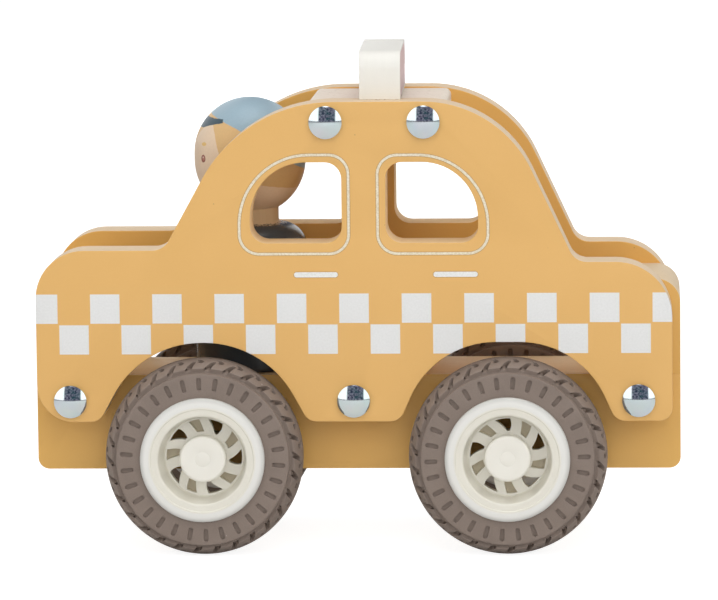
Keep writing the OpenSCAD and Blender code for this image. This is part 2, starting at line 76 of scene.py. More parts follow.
def painted_wood(name, faces, coat, timber, bare_rough=0.68, plies=None, prints=None, warm_zone=None):
    """Satin acrylic paint on sanded light timber, each in two tones.

    The paint lies on the planes where |y| is one of faces and is sanded off the edges, so its border
    is thin and a little ragged. Bare wood shows fine grain along the car, short pores and any plies.
    The bare wood within warm_zone, given as its middle and half sizes in x and z, is made lighter and warmer.
    """
    made, tree = blank(name)
    place = add(tree, "ShaderNodeTexCoord", {})["Object"]
    at = add(tree, "ShaderNodeSeparateXYZ", {0: place})
    away = add(tree, "ShaderNodeMath", {0: at["Y"]}, operation="ABSOLUTE")[0]

    ragged = add(tree, "ShaderNodeTexNoise", {"Vector": place, "Scale": 1 / (0.9 * mm), "Detail": 3.0})["Fac"]
    wander = add(tree, "ShaderNodeMath", {0: ragged, 1: 0.16 * mm}, operation="MULTIPLY")[0]
    painted = None
    for face in faces:
        gap = add(tree, "ShaderNodeMath", {0: away, 1: face}, operation="SUBTRACT")[0]
        gap = add(tree, "ShaderNodeMath", {0: gap}, operation="ABSOLUTE")[0]
        gap = add(tree, "ShaderNodeMath", {0: gap, 1: wander}, operation="ADD")[0]
        near = add(tree, "ShaderNodeMapRange", {
            "Value": gap, "From Min": 0.16 * mm, "From Max": 0.34 * mm, "To Min": 1.0, "To Max": 0.0,
        }, interpolation_type="SMOOTHSTEP")[0]
        if painted is None:
            painted = near
        else:
            painted = add(tree, "ShaderNodeMath", {0: painted, 1: near}, operation="MAXIMUM")[0]

    along = add(tree, "ShaderNodeMapping", {
        "Vector": place, "Scale": (1 / (22 * mm), 1 / (0.8 * mm), 1 / (1.1 * mm)),
    })[0]
    grain = add(tree, "ShaderNodeTexNoise", {
        "Vector": along, "Scale": 1.0, "Detail": 5.0, "Roughness": 0.6,
    })["Fac"]
    dash = add(tree, "ShaderNodeMapping", {
        "Vector": place, "Scale": (1 / (1.7 * mm), 1 / (0.33 * mm), 1 / (0.33 * mm)),
    })[0]
    pore = add(tree, "ShaderNodeTexNoise", {"Vector": dash, "Scale": 1.0, "Detail": 1.0})["Fac"]
    pore = add(tree, "ShaderNodeMapRange", {"Value": pore, "From Min": 0.66, "From Max": 0.8})[0]
    bare = add(tree, "ShaderNodeMix", {
        "Factor": grain, "A": linear(timber[0]), "B": linear(timber[1]),
    }, data_type="RGBA")["Result"]
    if plies:
        first, count = plies
        depth = add(tree, "ShaderNodeMath", {0: away, 1: first}, operation="SUBTRACT")[0]
        layer = add(tree, "ShaderNodeMath", {0: depth, 1: count}, operation="DIVIDE")[0]
        layer = add(tree, "ShaderNodeMath", {0: layer, 1: 1.0}, operation="PINGPONG")[0]
        layer = add(tree, "ShaderNodeMapRange", {
            "Value": layer, "From Min": 0.44, "From Max": 0.56, "To Min": 0.0, "To Max": 0.34,
        }, interpolation_type="SMOOTHSTEP")[0]
        bare = add(tree, "ShaderNodeMix", {
            "Factor": layer, "A": bare, "B": linear("#caa67a"),
        }, data_type="RGBA")["Result"]
    if warm_zone:
        # bare wood round the windows is made lighter and warmer
        (middle_x, middle_z), (half_x, half_z) = warm_zone
        warm_share = add(tree, "ShaderNodeMath", {0: at["X"], 1: middle_x, 2: half_x}, operation="COMPARE")[0]
        level = add(tree, "ShaderNodeMath", {0: at["Z"], 1: middle_z, 2: half_z}, operation="COMPARE")[0]
        warm_share = add(tree, "ShaderNodeMath", {0: warm_share, 1: level}, operation="MULTIPLY")[0]
        warm_share = add(tree, "ShaderNodeMath", {0: warm_share, 1: 0.85}, operation="MULTIPLY")[0]
        bare = add(tree, "ShaderNodeMix", {
            "Factor": warm_share, "A": bare, "B": linear("#f5d5a3"),
        }, data_type="RGBA")["Result"]
    pore_share = add(tree, "ShaderNodeMath", {0: pore, 1: 0.5}, operation="MULTIPLY")[0]
    bare = add(tree, "ShaderNodeMix", {
        "Factor": pore_share, "A": bare, "B": linear("#a98258"),
    }, data_type="RGBA")["Result"]

    mottle = add(tree, "ShaderNodeTexNoise", {"Vector": place, "Scale": 1 / (26 * mm), "Detail": 3.0})["Fac"]
    fleck = add(tree, "ShaderNodeTexNoise", {"Vector": place, "Scale": 1 / (0.55 * mm), "Detail": 2.0})["Fac"]
    tone = add(tree, "ShaderNodeMix", {"Factor": 0.35, "A": mottle, "B": fleck})[0]
    paint = add(tree, "ShaderNodeMix", {
        "Factor": tone, "A": linear(coat[0]), "B": linear(coat[1]),
    }, data_type="RGBA")["Result"]
    dust = add(tree, "ShaderNodeTexVoronoi", {"Vector": place, "Scale": 1 / (9 * mm)})["Distance"]
    dust = add(tree, "ShaderNodeMapRange", {
        "Value": dust, "From Min": 0.016, "From Max": 0.026, "To Min": 0.4, "To Max": 0.0,
    })[0]
    paint = add(tree, "ShaderNodeMix", {
        "Factor": dust, "A": paint, "B": linear("#8f6a35"),
    }, data_type="RGBA")["Result"]
    if plies:
        # the inner faces are a deeper, warmer yellow: painted shade and bounce light between the panels
        within = add(tree, "ShaderNodeMath", {0: away, 1: sum(faces) / 2}, operation="LESS_THAN")[0]
        paint = add(tree, "ShaderNodeMix", {
            "Factor": within, "A": paint, "B": linear("#fbf1c8"),
        }, data_type="RGBA", blend_type="MULTIPLY")["Result"]
    if prints:
        ink = add(tree, "ShaderNodeMix", {
            "Factor": fleck, "A": linear("#dededc"), "B": linear("#ebebea"),
        }, data_type="RGBA")["Result"]
        paint = add(tree, "ShaderNodeMix", {
            "Factor": prints(tree, place), "A": paint, "B": ink,
        }, data_type="RGBA")["Result"]

    colour = add(tree, "ShaderNodeMix", {
        "Factor": painted, "A": bare, "B": paint,
    }, data_type="RGBA")["Result"]
    rough = add(tree, "ShaderNodeMapRange", {"Value": painted, "To Min": bare_rough, "To Max": 0.46})[0]
    sheen = add(tree, "ShaderNodeMath", {0: fleck, 1: 0.08}, operation="MULTIPLY")[0]
    rough = add(tree, "ShaderNodeMath", {0: rough, 1: sheen}, operation="ADD")[0]
    furrow = add(tree, "ShaderNodeMath", {0: grain, 1: pore}, operation="SUBTRACT")[0]
    relief = add(tree, "ShaderNodeMix", {"Factor": painted, "A": furrow, "B": fleck})[0]
    bump = add(tree, "ShaderNodeBump", {"Height": relief, "Strength": 0.35, "Distance": 0.04 * mm})[0]
    shader = add(tree, "ShaderNodeBsdfPrincipled", {
        "Base Color": colour, "Roughness": rough, "Normal": bump, "IOR": 1.6,
    })[0]
    add(tree, "ShaderNodeOutputMaterial", {"Surface": shader})
    return made


def pick(piece):
    """Makes the piece the only one that is selected, and the active one."""
    bpy.ops.object.select_all(action="DESELECT")
    piece.select_set(True)
    bpy.context.view_layer.objects.active = piece


def start(name, mesh):
    """A new object of that mesh, alone in the selection and active."""
    made = bpy.data.objects.new(name, mesh)
    bpy.context.scene.collection.objects.link(made)
    pick(made)
    return made


def eased(node, name, ease, steps=3):
    """A node's own shape with the corners of its edges sanded round."""
    piece = start(name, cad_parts[node].data.copy())
    piece.data.materials.clear()
    bpy.ops.mesh.customdata_custom_splitnormals_clear()
    bpy.ops.object.mode_set(mode="EDIT")
    bpy.ops.mesh.select_all(action="SELECT")
    bpy.ops.mesh.remove_doubles(threshold=0.002 * mm)
    bpy.ops.mesh.dissolve_limited(angle_limit=math.radians(0.3))
    bpy.ops.mesh.select_all(action="DESELECT")
    bpy.ops.mesh.select_mode(type="EDGE")
    bpy.ops.mesh.edges_select_sharp(sharpness=math.radians(40))
    bpy.ops.mesh.bevel(offset=ease, segments=steps, profile=0.5, clamp_overlap=True)
    bpy.ops.mesh.select_mode(type="VERT")
    bpy.ops.object.mode_set(mode="OBJECT")
    bpy.ops.object.shade_smooth_by_angle(angle=math.radians(35))
    return piece


def settle(piece, body, slot, *nodes):
    """Says what the piece moves with and which nodes it stands for, and hides those; the slot is not used."""
    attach(piece, body)
    if nodes:
        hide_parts(*nodes)


core_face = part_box("chassis")[1][1]
# the core's yellow is a little deeper than the panels': painted shade for its sides, which stand under and
# between the panels
core_coat = ("#deab57", "#e5b460")
chassis = eased("chassis", "sanded_chassis", 1.2 * mm, 4)
painted_pine = painted_wood(
    "acrylic_painted_pine", [core_face], core_coat, ("#e1c499", "#ebd2ac"), bare_rough=0.42,
)
chassis.data.materials.append(painted_pine)
settle(chassis, "car_body", "yellow_paint", "chassis")


# Front and rear blocks: short uprights of the same timber, glued and dowelled on the chassis ends.
# Their tops are bare and rounded to the outside.
painted_beech = painted_wood("acrylic_painted_beech", [core_face], core_coat, ("#dac19d", "#e5d1b2"))
for end in ("front", "rear"):
    block = eased(end + "_block", "sanded_" + end + "_block", 0.6 * mm)
    block.data.materials.append(painted_beech)
    settle(block, "car_body", "yellow_paint", end + "_block")


# Side panels: two alike sheets of birch plywood, painted on both faces and sawn out, edges sanded bare.
# A two-row chequer is screen-printed in white on the outer face, right out to the sanded edge.
panel_low, panel_high = (Vector(c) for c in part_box("side_panel_right"))
inner_face, outer_face = panel_low.y, panel_high.y
square = 7.89 * mm
chequer_pitch = 16.68 * mm
chequer_rows = [(66.55 * mm, -70.74 * mm), (58.25 * mm, -79.12 * mm)]


def chequer(tree, place):
    """Share of white ink: two rows of squares on the outer faces."""
    at = add(tree, "ShaderNodeSeparateXYZ", {0: place})
    inked = None
    for middle, left in chequer_rows:
        run = add(tree, "ShaderNodeMath", {0: at["X"], 1: left}, operation="SUBTRACT")[0]
        run = add(tree, "ShaderNodeMath", {0: run, 1: chequer_pitch}, operation="FLOORED_MODULO")[0]
        column = add(tree, "ShaderNodeMath", {0: run, 1: square / 2, 2: square / 2}, operation="COMPARE")[0]
        row = add(tree, "ShaderNodeMath", {0: at["Z"], 1: middle, 2: square / 2}, operation="COMPARE")[0]
        cell = add(tree, "ShaderNodeMath", {0: column, 1: row}, operation="MULTIPLY")[0]
        if inked is None:
            inked = cell
        else:
            inked = add(tree, "ShaderNodeMath", {0: inked, 1: cell}, operation="MAXIMUM")[0]
    away = add(tree, "ShaderNodeMath", {0: at["Y"]}, operation="ABSOLUTE")[0]
    panel_middle = (inner_face + outer_face) / 2
    outside = add(tree, "ShaderNodeMath", {0: away, 1: panel_middle}, operation="GREATER_THAN")[0]
    return add(tree, "ShaderNodeMath", {0: inked, 1: outside}, operation="MULTIPLY")[0]


ply_count = 9
# middle and half size, in x and z, of the stretch that holds both windows
window_zone = ((2.6 * mm, 94.4 * mm), (31.5 * mm, 12.6 * mm))
painted_plywood = painted_wood(
    "acrylic_painted_plywood", [inner_face, outer_face], ("#e1af62", "#e9b970"), ("#e1c8a6", "#ebd7bb"),
    plies=(inner_face, (outer_face - inner_face) / ply_count), prints=chequer, warm_zone=window_zone,
)
for side in ("left", "right"):
    panel = eased("side_panel_" + side, "sanded_side_panel_" + side, 0.55 * mm)
    panel.data.materials.append(painted_plywood)
    settle(panel, "car_body", "yellow_paint", "side_panel_" + side)


# Printed lines: a thin cream line round each window and a short white bar under it for a door handle.
# Both are screen ink, a film a few hundredths of a millimetre thick.
# Each has a thin dark border all round.
film = 0.04 * mm
line_width = 0.7 * mm
border = 0.15 * mm
handle_bars = [(-16.0 * mm, -4.3 * mm), (21.2 * mm, 33.0 * mm)]
handle_low, handle_high = 74.85 * mm, 76.27 * mm
small_corner, large_corner = 5.6 * mm, 19.0 * mm
# left, right, low and high edges of the line, and the side of its large corner
window_lines = [
    (-30.85 * mm, -0.94 * mm, 80.8 * mm, 107.95 * mm, "left"),
    (6.09 * mm, 36.15 * mm, 80.8 * mm, 107.85 * mm, "right"),
]


def ink_patch(left, right, low, high, radii):
    """A flat printed patch on the left panel's face; radii are those of its four corners."""
    bpy.ops.mesh.primitive_plane_add(size=1)
    patch = bpy.context.object
    for v in patch.data.vertices:
        v.co = (left if v.co.x < 0 else right, -outer_face, low if v.co.y < 0 else high)
    bpy.ops.object.mode_set(mode="EDIT")
    for (x, z), radius in radii.items():
        bpy.ops.mesh.select_all(action="DESELECT")
        bpy.ops.object.mode_set(mode="OBJECT")
        corner = Vector((left if x < 0 else right, -outer_face, low if z < 0 else high))
        for v in patch.data.vertices:
            v.select = (v.co - corner).length < 0.001 * mm
        bpy.ops.object.mode_set(mode="EDIT")
        bpy.ops.mesh.bevel(offset=radius, segments=20, profile=0.5, affect="VERTICES", clamp_overlap=True)
    bpy.ops.mesh.select_all(action="SELECT")
    return patch


def ink_finish(name, colours):
    """Screen ink: matt, with the fine speckle that the mesh leaves."""
    made, tree = blank(name)
    place = add(tree, "ShaderNodeTexCoord", {})["Object"]
    speckle = add(tree, "ShaderNodeTexNoise", {
        "Vector": place, "Scale": 1 / (0.35 * mm), "Detail": 2.0,
    })["Fac"]
    share = add(tree, "ShaderNodeMapRange", {"Value": speckle, "From Min": 0.34, "From Max": 0.6})[0]
    colour = add(tree, "ShaderNodeMix", {
        "Factor": share, "A": linear(colours[0]), "B": linear(colours[1]),
    }, data_type="RGBA")["Result"]
    rough = add(tree, "ShaderNodeMapRange", {"Value": speckle, "To Min": 0.5, "To Max": 0.65})[0]
    bump = add(tree, "ShaderNodeBump", {"Height": speckle, "Strength": 0.3, "Distance": 0.03 * mm})[0]
    shader = add(tree, "ShaderNodeBsdfPrincipled", {
        "Base Color": colour, "Roughness": rough, "Normal": bump, "IOR": 1.46,
    })[0]
    add(tree, "ShaderNodeOutputMaterial", {"Surface": shader})
    return made


def join(pieces, name):
    """The pieces as one object."""
    bpy.ops.object.select_all(action="DESELECT")
    for p in pieces:
        p.select_set(True)
    bpy.context.view_layer.objects.active = pieces[0]
    if len(pieces) > 1:
        bpy.ops.object.join()
    joined = bpy.context.object
    joined.name = name
    return joined


def change_side(mesh):
    """Mirrors a mesh to the other side of the car."""
    mesh.transform(Matrix.Scale(-1, 4, Vector((0, 1, 0))))
    mesh.flip_normals()


def thicken(piece, thickness, offset):
    """Gives a flat patch its thickness."""
    pick(piece)
    wall = piece.modifiers.new("wall", "SOLIDIFY")
    wall.thickness = thickness
    wall.offset = offset
    bpy.ops.object.modifier_apply(modifier=wall.name)


rings, bars, borders = [], [], []
for grow, thickness in ((0, 2 * film), (border, film)):
    for left, right, low, high, large in window_lines:
        radii = {(x, z): small_corner + grow for x in (-1, 1) for z in (-1, 1)}
        radii[(-1 if large == "left" else 1, 1)] = large_corner + grow
        ring = ink_patch(left - grow, right + grow, low - grow, high + grow, radii)
        bpy.ops.mesh.inset(thickness=line_width + 2 * grow)
        bpy.ops.mesh.delete(type="FACE")
        bpy.ops.object.mode_set(mode="OBJECT")
        thicken(ring, thickness, 0)
        (borders if grow else rings).append(ring)
    bar_radius = (handle_high - handle_low) / 2 + grow
    for left, right in handle_bars:
        radii = {(x, z): 0.98 * bar_radius for x in (-1, 1) for z in (-1, 1)}
        bar = ink_patch(left - grow, right + grow, handle_low - grow, handle_high + grow, radii)
        bpy.ops.object.mode_set(mode="OBJECT")
        thicken(bar, thickness, 0)
        (borders if grow else bars).append(bar)
for patches, name, ink, colours in (
    (rings, "window_lines", "cream_screen_ink", ("#dacdb1", "#ece4d0")),
    (bars, "handle_bars", "white_screen_ink", ("#e2e2df", "#eeeeec")),
    (borders, "print_borders", "dark_print_border", ("#b88c4e", "#c49758")),
):
    print_left = join(patches, name + "_left")
    print_left.data.materials.append(ink_finish(ink, colours))
    print_right = start(name + "_right", print_left.data.copy())
    change_side(print_right.data)
    settle(print_left, "car_body", "cream_paint")
    settle(print_right, "car_body", "cream_paint")


# Roof block: a bare block of close-grained hardwood between the panels, held by the two roof rods.
# Its top shows the pores and the fine straight grain; it is only sanded.
def bare_wood(name, light, dark):
    """Sanded light hardwood: straight grain along the car, short open pores, no finish."""
    made, tree = blank(name)
    place = add(tree, "ShaderNodeTexCoord", {})["Object"]
    along = add(tree, "ShaderNodeMapping", {
        "Vector": place, "Scale": (1 / (30 * mm), 1 / (1.2 * mm), 1 / (1.6 * mm)),
    })[0]
    grain = add(tree, "ShaderNodeTexNoise", {
        "Vector": along, "Scale": 1.0, "Detail": 5.0, "Roughness": 0.6,
    })["Fac"]
    dash = add(tree, "ShaderNodeMapping", {
        "Vector": place, "Scale": (1 / (1.5 * mm), 1 / (0.4 * mm), 1 / (0.4 * mm)),
    })[0]
    pore = add(tree, "ShaderNodeTexNoise", {"Vector": dash, "Scale": 1.0, "Detail": 1.0})["Fac"]
    pore = add(tree, "ShaderNodeMapRange", {"Value": pore, "From Min": 0.64, "From Max": 0.8})[0]
    wood = add(tree, "ShaderNodeMix", {
        "Factor": grain, "A": linear(dark), "B": linear(light),
    }, data_type="RGBA")["Result"]
    pore_share = add(tree, "ShaderNodeMath", {0: pore, 1: 0.7}, operation="MULTIPLY")[0]
    wood = add(tree, "ShaderNodeMix", {
        "Factor": pore_share, "A": wood, "B": linear("#9c7452"),
    }, data_type="RGBA")["Result"]
    furrow = add(tree, "ShaderNodeMath", {0: grain, 1: pore}, operation="SUBTRACT")[0]
    bump = add(tree, "ShaderNodeBump", {"Height": furrow, "Strength": 0.5, "Distance": 0.06 * mm})[0]
    rough = add(tree, "ShaderNodeMapRange", {"Value": grain, "To Min": 0.62, "To Max": 0.75})[0]
    shader = add(tree, "ShaderNodeBsdfPrincipled", {
        "Base Color": wood, "Roughness": rough, "Normal": bump, "IOR": 1.46,
    })[0]
    add(tree, "ShaderNodeOutputMaterial", {"Surface": shader})
    return made


hardwood = bare_wood("sanded_hardwood", "#f3e9dc", "#e6d8c8")
roof_block = eased("roof_block", "sanded_roof_block", 0.5 * mm)
roof_block.data.materials.append(hardwood)
settle(roof_block, "car_body", "bare_wood", "roof_block")


# Dowels: short turned pegs glued across the joints of the blocks, the sign and the driver's neck.
def dress(material, *nodes):
    """Gives nodes that keep their plain solids a material."""
    for node in nodes:
        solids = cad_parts[node].data
        solids.materials.clear()
        solids.materials.append(material)


dress(hardwood, "front_block_dowels", "rear_block_dowels", "sign_dowels", "driver_neck_dowel")


# Roof sign: a block of painted timber standing across the roof on two dowels.
# It is cream all round, with a plain dusty-pink field printed on its front and back.
def sign_paint(name, tones, foot):
    """Satin paint with faint brush streaks, chipped in a few places along the foot."""
    made, tree = blank(name)
    place = add(tree, "ShaderNodeTexCoord", {})["Object"]
    at = add(tree, "ShaderNodeSeparateXYZ", {0: place})
    streak = add(tree, "ShaderNodeMapping", {
        "Vector": place, "Scale": (1 / (1.1 * mm), 1 / (9 * mm), 1 / (7 * mm)),
    })[0]
    brush = add(tree, "ShaderNodeTexNoise", {"Vector": streak, "Scale": 1.0, "Detail": 4.0})["Fac"]
    fine = add(tree, "ShaderNodeTexNoise", {"Vector": place, "Scale": 1 / (0.5 * mm), "Detail": 2.0})["Fac"]
    tone = add(tree, "ShaderNodeMix", {"Factor": 0.4, "A": brush, "B": fine})[0]
    colour = add(tree, "ShaderNodeMix", {
        "Factor": tone, "A": linear(tones[0]), "B": linear(tones[1]),
    }, data_type="RGBA")["Result"]
    worn = add(tree, "ShaderNodeTexNoise", {"Vector": place, "Scale": 1 / (1.3 * mm), "Detail": 4.0})["Fac"]
    low = add(tree, "ShaderNodeMapRange", {
        "Value": at["Z"], "From Min": foot, "From Max": foot + 0.7 * mm, "To Min": 0.2, "To Max": -0.3,
    })[0]
    worn = add(tree, "ShaderNodeMath", {0: worn, 1: low}, operation="ADD")[0]
    worn = add(tree, "ShaderNodeMapRange", {
        "Value": worn, "From Min": 0.66, "From Max": 0.7, "To Max": 0.7,
    })[0]
    colour = add(tree, "ShaderNodeMix", {
        "Factor": worn, "A": colour, "B": linear("#a07c5c"),
    }, data_type="RGBA")["Result"]
    relief = add(tree, "ShaderNodeMix", {"Factor": 0.5, "A": brush, "B": fine})[0]
    rough = add(tree, "ShaderNodeMapRange", {"Value": brush, "To Min": 0.42, "To Max": 0.56})[0]
    bump = add(tree, "ShaderNodeBump", {"Height": relief, "Strength": 0.4, "Distance": 0.05 * mm})[0]
    shader = add(tree, "ShaderNodeBsdfPrincipled", {
        "Base Color": colour, "Roughness": rough, "Normal": bump, "IOR": 1.46,
    })[0]
    add(tree, "ShaderNodeOutputMaterial", {"Surface": shader})
    return made


sign_low, sign_high = (Vector(c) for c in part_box("roof_sign"))
sign = eased("roof_sign", "painted_roof_sign", 0.9 * mm, 4)
sign.data.materials.append(sign_paint("satin_cream_paint", ("#ebe9e2", "#f2f0e8"), sign_low.z))
sign.data.materials.append(sign_paint("satin_dusty_pink_paint", ("#dcb9b7", "#e7cac7"), sign_low.z))
pink_border = 0.6 * mm
bpy.ops.object.mode_set(mode="EDIT")
bpy.ops.mesh.select_mode(type="FACE")
bpy.ops.mesh.select_all(action="DESELECT")
bpy.ops.object.mode_set(mode="OBJECT")
for face in sign.data.polygons:
    face.select = abs(face.normal.x) > 0.999
bpy.ops.object.mode_set(mode="EDIT")
bpy.ops.mesh.inset(thickness=pink_border, depth=0)
bpy.ops.object.mode_set(mode="OBJECT")
for face in sign.data.polygons:
    face.material_index = 1 if face.select else 0
# set by hand, so a degree out of square
near_end = Matrix.Translation(((sign_low.x + sign_high.x) / 2, sign_low.y, 0))
sign.data.transform(near_end @ Matrix.Rotation(math.radians(1.2), 4, "Z") @ near_end.inverted())
settle(sign, "car_body", "cream_paint", "roof_sign")


# Tie rods and axles: drawn steel bar, bright with fine lines along its length.
# The tie rods clamp panels and core together; the axles are pressed into the wheel hubs.
def drawn_steel(name):
    """Drawn steel: grey and bright, with die lines along the bar."""
    made, tree = blank(name)
    place = add(tree, "ShaderNodeTexCoord", {})["Object"]
    along = add(tree, "ShaderNodeMapping", {
        "Vector": place, "Scale": (1 / (0.25 * mm), 1 / (14 * mm), 1 / (0.25 * mm)),
    })[0]
    die = add(tree, "ShaderNodeTexNoise", {"Vector": along, "Scale": 1.0, "Detail": 3.0})["Fac"]
    colour = add(tree, "ShaderNodeMix", {
        "Factor": die, "A": linear("#b4b8ba"), "B": linear("#d2d5d6"),
    }, data_type="RGBA")["Result"]
    rough = add(tree, "ShaderNodeMapRange", {"Value": die, "To Min": 0.22, "To Max": 0.4})[0]
    bump = add(tree, "ShaderNodeBump", {"Height": die, "Strength": 0.2, "Distance": 0.02 * mm})[0]
    shader = add(tree, "ShaderNodeBsdfPrincipled", {
        "Base Color": colour, "Metallic": 1.0, "Roughness": rough, "Normal": bump,
    })[0]
    add(tree, "ShaderNodeOutputMaterial", {"Surface": shader})
    return made


dress(drawn_steel("drawn_steel"), "roof_tie_rods", "base_tie_rods", "front_axle", "rear_axle")


# Domed caps: pressed steel push caps with bright zinc plate, driven on the ends of the tie rods.
# Each is a shallow dome on a short wall that sits on the panel.
def turned(name, outline, steps, axis="Y"):
    """Draws half an outline, a list of (radius, along), and spins it round the axis as on a lathe."""
    bpy.ops.object.select_all(action="DESELECT")
    bpy.ops.mesh.primitive_plane_add(size=mm)
    piece = bpy.context.object
    piece.name = name
    along = Vector((0, 1, 0)) if axis == "Y" else Vector((0, 0, 1))
    points = [Vector((radius, 0, 0)) + height * along for radius, height in outline]
    bpy.ops.object.mode_set(mode="EDIT")
    bpy.ops.mesh.select_mode(type="VERT")
    bpy.ops.mesh.merge(type="CENTER")
    bpy.ops.transform.translate(value=points[0])
    for a, b in zip(points, points[1:]):
        bpy.ops.mesh.extrude_vertices_move(TRANSFORM_OT_translate={"value": b - a})
    bpy.ops.mesh.select_all(action="SELECT")
    bpy.ops.mesh.spin(steps=steps, angle=2 * math.pi, center=(0, 0, 0), axis=along)
    bpy.ops.mesh.select_all(action="SELECT")
    bpy.ops.mesh.remove_doubles(threshold=0.0005 * mm)
    bpy.ops.mesh.normals_make_consistent(inside=False)
    bpy.ops.object.mode_set(mode="OBJECT")
    bpy.ops.object.shade_smooth_by_angle(angle=math.radians(30))
    return piece


def arc(middle, radius, first, last, steps):
    """Points on a round stretch of an outline, angles in degrees."""
    turn = [math.radians(first + (last - first) * i / steps) for i in range(steps + 1)]
    return [(middle[0] + radius * math.cos(t), middle[1] + radius * math.sin(t)) for t in turn]


def zinc_plate(name):
    """Bright zinc plate: a mirror with a cold tint, slightly clouded, with faint interference colours."""
    made, tree = blank(name)
    place = add(tree, "ShaderNodeTexCoord", {})["Object"]
    cloud = add(tree, "ShaderNodeTexNoise", {"Vector": place, "Scale": 1 / (5 * mm), "Detail": 2.0})["Color"]
    crystal = add(tree, "ShaderNodeTexNoise", {
        "Vector": place, "Scale": 1 / (0.25 * mm), "Detail": 2.0,
    })["Fac"]
    colour = add(tree, "ShaderNodeMix", {
        "Factor": 0.3, "A": linear("#dce7ea"), "B": cloud,
    }, data_type="RGBA", blend_type="OVERLAY")["Result"]
    rough = add(tree, "ShaderNodeMapRange", {"Value": crystal, "To Min": 0.05, "To Max": 0.15})[0]
    bump = add(tree, "ShaderNodeBump", {"Height": crystal, "Strength": 0.12, "Distance": 0.02 * mm})[0]
    shader = add(tree, "ShaderNodeBsdfPrincipled", {
        "Base Color": colour, "Metallic": 1.0, "Roughness": rough, "Normal": bump,
    })[0]
    add(tree, "ShaderNodeOutputMaterial", {"Surface": shader})
    return made


def centres(node):
    """Middles of a node's separate solids, seen from the side, as (x, z), and their radius and height."""
    low, high = (Vector(c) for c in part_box(node))
    radius = (high.z - low.z) / 2
    count = 2 if node.startswith("roof") else 3
    run = (high.x - low.x - 2 * radius) / (count - 1)
    return [(low.x + radius + i * run, low.z + radius) for i in range(count)], radius, high.y - low.y


zinc = zinc_plate("bright_zinc_plate")
dome_slope = 40
lip = 0.12 * mm
for row in ("roof", "base"):
    for side in ("left", "right"):
        node = row + "_caps_" + side
        places, cap_r, cap_h = centres(node)
        dome_r = cap_r / math.sin(math.radians(dome_slope))
        outline = [(0, 0), (cap_r - lip, 0), (cap_r, lip)]
        outline += arc((0, cap_h - dome_r), dome_r, 90 - dome_slope, 90, 24)
        outline[-1] = (0, cap_h)
        domes = []
        for x, z in places:
            dome = turned(node + "_dome", outline, 72)
            dome.data.transform(Matrix.Translation((x, outer_face, z)))
            domes.append(dome)
        caps = join(domes, "pressed_" + node)
        if side == "left":
            change_side(caps.data)
        caps.data.materials.append(zinc)
        settle(caps, "car_body", "plated_cap", node)


# Bushes and washers: natural nylon, turned, pale and slightly waxy.
# The bushes line the axle bores in the chassis and the washers keep the wheels off it.
def nylon(name):
    """Natural nylon: off-white with a faint grain and a soft gloss."""
    made, tree = blank(name)
    place = add(tree, "ShaderNodeTexCoord", {})["Object"]
    grain = add(tree, "ShaderNodeTexNoise", {"Vector": place, "Scale": 1 / (0.6 * mm), "Detail": 3.0})["Fac"]
    colour = add(tree, "ShaderNodeMix", {
        "Factor": grain, "A": linear("#d5d4cd"), "B": linear("#e2e1db"),
    }, data_type="RGBA")["Result"]
    rough = add(tree, "ShaderNodeMapRange", {"Value": grain, "To Min": 0.35, "To Max": 0.5})[0]
    shader = add(tree, "ShaderNodeBsdfPrincipled", {"Base Color": colour, "Roughness": rough, "IOR": 1.53})[0]
    add(tree, "ShaderNodeOutputMaterial", {"Surface": shader})
    return made


dress(nylon("natural_nylon"), "front_axle_bushes", "rear_axle_bushes", "front_washers", "rear_washers")


# Tyres: taupe rubber, moulded in one piece and stretched over the rims.
# Thirty pockets mark each sidewall, and slanted grooves cut the shoulders and the sides of the tread.
axle_low, axle_high = (Vector(c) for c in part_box("front_left_tyre"))
tyre_r = (axle_high.z - axle_low.z) / 2
half_tyre = (axle_high.y - axle_low.y) / 2
wheel_y = -(axle_low.y + axle_high.y) / 2
axle_z = (axle_low.z + axle_high.z) / 2
axle_x = {end: (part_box(end + "_axle")[0][0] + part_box(end + "_axle")[1][0]) / 2 for end in ("front", "rear")}
tyre_pitches = 30
pitch = 2 * math.pi / tyre_pitches
shoulder_r = 23.1 * mm
bead_r = 14.6 * mm
crown_drop = tyre_r - shoulder_r
crown_r = (half_tyre ** 2 + crown_drop ** 2) / (2 * crown_drop)
groove_y = half_tyre - 1.8 * mm
# Half outline from the bead to the tread: radius, distance from the middle, how far the grooves lean,
# as a share of a pitch, and the widths of the sidewall pockets and the shoulder grooves, as shares
# of the widest.
half_rows = [
    (bead_r, half_tyre, 0, 1, 1), (17.6 * mm, half_tyre, 0, 1, 1), (18.75 * mm, half_tyre, 0, 0.7, 1),
    (18.95 * mm, half_tyre, 0, 0.93, 1), (19.3 * mm, half_tyre, 0, 1, 1), (21.4 * mm, half_tyre, 0, 1, 1),
    (21.85 * mm, half_tyre, 0, 0.8, 1), (22.1 * mm, half_tyre, 0, 0.4, 1), (22.6 * mm, half_tyre, 0, 1, 1),
    (shoulder_r, half_tyre - 0.05 * mm, 0, 1, 1), (shoulder_r + 0.08 * mm, groove_y, 0, 1, 1),
    (shoulder_r + 0.6 * mm, groove_y + 0.03 * mm, -0.06, 1, 0.9),
]
for along, lean, wide in (
    (6.2, -0.12, 1.1), (5.5, -0.2, 1), (4.8, -0.28, 0.9), (4.1, -0.36, 0.8), (3.4, -0.42, 0.6),
    (2.7, -0.34, 1), (2.0, -0.24, 1), (1.1, -0.12, 1),
):
    away = along * mm
    half_rows.append((tyre_r - crown_r + math.sqrt(crown_r ** 2 - away ** 2), away, lean, 1, wide))
rows = [(r, -y, *rest) for r, y, *rest in half_rows] + [(tyre_r, 0, 0.13, 1, 1)]
rows += [(r, y, 0.5 + lean, *rest) for r, y, lean, *rest in reversed(half_rows)]
